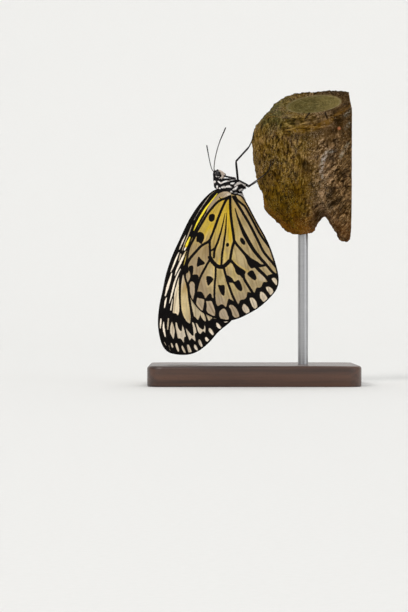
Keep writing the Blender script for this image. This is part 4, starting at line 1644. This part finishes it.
def forewing_marks(places):
    """The same for the forewing: pale streaks, cells and spots are cut out of a black ground."""
    row = places[:, 1]
    streaks = [stroke(places, line, width) for line, width in FORE_PALE_LINES]
    edge = [stroke(places, line, width) for line, width in EDGE_STREAKS]
    cells = [patch(places, corners) for corners in FORE_PALE_PATCHES]
    ink = np.maximum(0.25 + 0.25 * ease(row, 316.0, 326.0) - deepest(*streaks, *edge, *cells),
                     deepest(*[stroke(places, line, width) for line, width in FORE_INK_LINES]))
    front_streak, cell_streak = streaks[:2]
    dull_streaks = deepest(streaks[3], streaks[4])
    upper_streak, lower_streak = streaks[5], streaks[9]
    rim_spot, tip_spot = streaks[12:14]
    front_cell, middle_cell = cells[:2]
    gold = deepest(
        2.0 * ease(cell_streak, -0.6, 0.3), 2.0 * ease(upper_streak, -0.6, 0.3) * ease(row, 250.0, 244.0),
        0.7 * ease(lower_streak, -0.6, 0.3) * ease(row, 268.0, 252.0),
        1.6 * ease(edge[0], -0.6, 0.3), 0.7 * ease(edge[1], -0.6, 0.3),
        (0.55 + 0.35 * ease(row, 294.0, 282.0)) * ease(front_cell, -0.6, 0.6),
        (0.35 + 0.25 * ease(row, 298.0, 282.0)) * ease(middle_cell, -0.6, 0.6),
        0.7 * ease(oval(places, *FORE_GOLD_OVAL), -3.0, 2.0))
    snow = deepest(ease(places[:, 0] + 0.30 * (row - 300.0), 183.0, 168.0),
                   0.22 * ease(row, 284.0, 300.0),
                   0.60 * ease(row, 280.0, 294.0) * ease(front_cell, -0.6, 0.6),
                   0.48 * ease(row, 314.0, 324.0), 0.90 * ease(places[:, 0] + row, 533.0, 546.0),
                   0.85 * ease(rim_spot, 0.2, 0.6), ease(tip_spot, 0.2, 0.6))
    snow = snow * (1 - ease(gold, 0.4, 0.9) * ease(row, 272.0, 262.0))
    snow = snow * (1 - 0.8 * ease(dull_streaks, -0.6, 0.3))
    shade = ease(oval(places, *FORE_SHADE_OVAL), -4.0, 3.0)
    dusk = 0.75 * deepest(ease(front_streak, -0.6, 0.3), ease(dull_streaks, -0.6, 0.3), shade,
                          ease(row, 305.0, 345.0))
    return {"ink": ink, "gold": gold, "tan": 0.9 * shade, "dusk": dusk, "snow": snow}


def wing_sheet(outline, corners, lie, veins, marks):
    """Two faces a membrane apart, thinned in a half round to the rim where they meet, raised on the
    veins and gently pleated between them."""
    places = spread(outline, corners)
    rim = outline_gap(outline, places)
    down, across = (item.ravel() for item in np.meshgrid(
        np.linspace(0, 1, WING_ROWS), np.linspace(0, 1, WING_COLUMNS), indexing="ij"))
    body = WING_HALF_THICKNESS * np.sqrt(1 - (1 - np.minimum(rim / WING_RIM, 1)) ** 2)
    vein_gap = nearest_line(places, veins)
    rib = VEIN_HEIGHT * np.clip(1 - (vein_gap / VEIN_HALF_WIDTH) ** 2, 0, 1) ** 0.75
    rib *= ease(rim, 0.2, 1.6)
    pleat = MEMBRANE_PLEAT * np.cos(np.clip(vein_gap / 5.0, 0, 1) * math.pi) * ease(rim, 0.5, 4.0)
    waves = rough(np.insert(places / MEMBRANE_WAVE_LENGTH, 2, 0.0, axis=1), 31)
    pleat += MEMBRANE_WAVE * waves * ease(rim, 0.5, 4.0)
    level = lie(places) + pleat * 0.6
    x, z = (plane(places) / MM).T
    values = {**marks(places), "down": down, "across": across}
    points = np.concatenate([np.stack((x, level + face * (body + rib), z), -1) for face in (1, -1)])
    faces = grid_faces(WING_ROWS, WING_COLUMNS)
    both = np.concatenate((faces, faces[:, ::-1] + len(places)))
    return points * MM, both, {key: np.tile(value, 2) for key, value in values.items()}


def wing_scales():
    """Scale dust on a membrane: black ink with a soft scaly edge over chalky cream, gold, tan and grey."""
    dust = Finish("wing_scales", Roughness=0.75, Specular_IOR_Level=0.12)
    grain = dust.noise(2600.0, 4.0, 0.65)
    cloud = dust.noise(260.0, 4.0, 0.6)
    rows = dust.cells(5200.0)
    ink = dust.field("ink")
    edge = ink + (grain - 0.5) * 0.9 + (rows - 0.5) * 0.25
    fan = dust.node("ShaderNodeCombineXYZ", None, {
        0: dust.field("across") * 42.0, 1: dust.field("down") * 3.4, 2: 0.0})
    streaks = dust.noise(1.0, 3.0, 0.6, fan)
    pale = dust.mix(cloud.step(0.35, 0.65), paint(163, 146, 102), paint(189, 171, 127))
    pale = dust.mix(dust.field("tan") * (0.50 + cloud * 0.5), pale, paint(158, 114, 70))
    pale = dust.mix(dust.field("gold") * (0.72 + cloud * 0.5), pale, paint(204, 170, 22))
    pale = dust.mix(dust.field("gold").step(1.0, 2.0), pale, paint(250, 227, 64))
    pale = dust.mix(dust.field("dusk") * (0.30 + cloud * 0.65), pale, paint(146, 126, 112))
    pale = dust.mix(dust.field("snow"), pale, paint(252, 240, 222))
    pale = dust.mix(streaks.step(0.50, 0.64) * 0.42, pale, paint(116, 88, 42))
    pale = dust.mix(streaks.step(0.48, 0.34) * 0.50, pale, (1.3, 1.27, 1.2, 1.0), "MULTIPLY")
    pale = dust.mix(ink.step(-2.3, -0.7) * 0.55, pale, (1.28, 1.24, 1.18, 1.0), "MULTIPLY")
    pale = dust.mix(grain.step(0.50, 0.72) * 0.20, pale, paint(112, 88, 46))
    black = dust.mix(grain.step(0.4, 0.7) * 0.5, paint(4, 2, 2), paint(20, 13, 11))
    dust.feed(Base_Color=dust.mix(edge.step(-0.28, 0.28), pale, black))
    dust.bump(rows + grain * 0.6, 0.03 * MM, 0.55)
    return dust


scale_dust = wing_scales()
for name, outline, corners, lie, veins, marks in (
        ("forewing", FOREWING_OUTLINE, FOREWING_CORNERS, forewing_lie, VEINS_FORE, forewing_marks),
        ("hindwing", HINDWING_OUTLINE, HINDWING_CORNERS, hindwing_lie, VEINS_HIND, hindwing_marks)):
    sheet_points, sheet_faces, sheet_marks = wing_sheet(outline, corners, lie, veins, marks)
    for label, side in (("right", -1), ("left", 1)):
        add_piece(name + "_" + label + "_scaled", sheet_points * (1, side, 1), sheet_faces, scale_dust,
                  "wing", [name + "_" + label], sheet_marks)
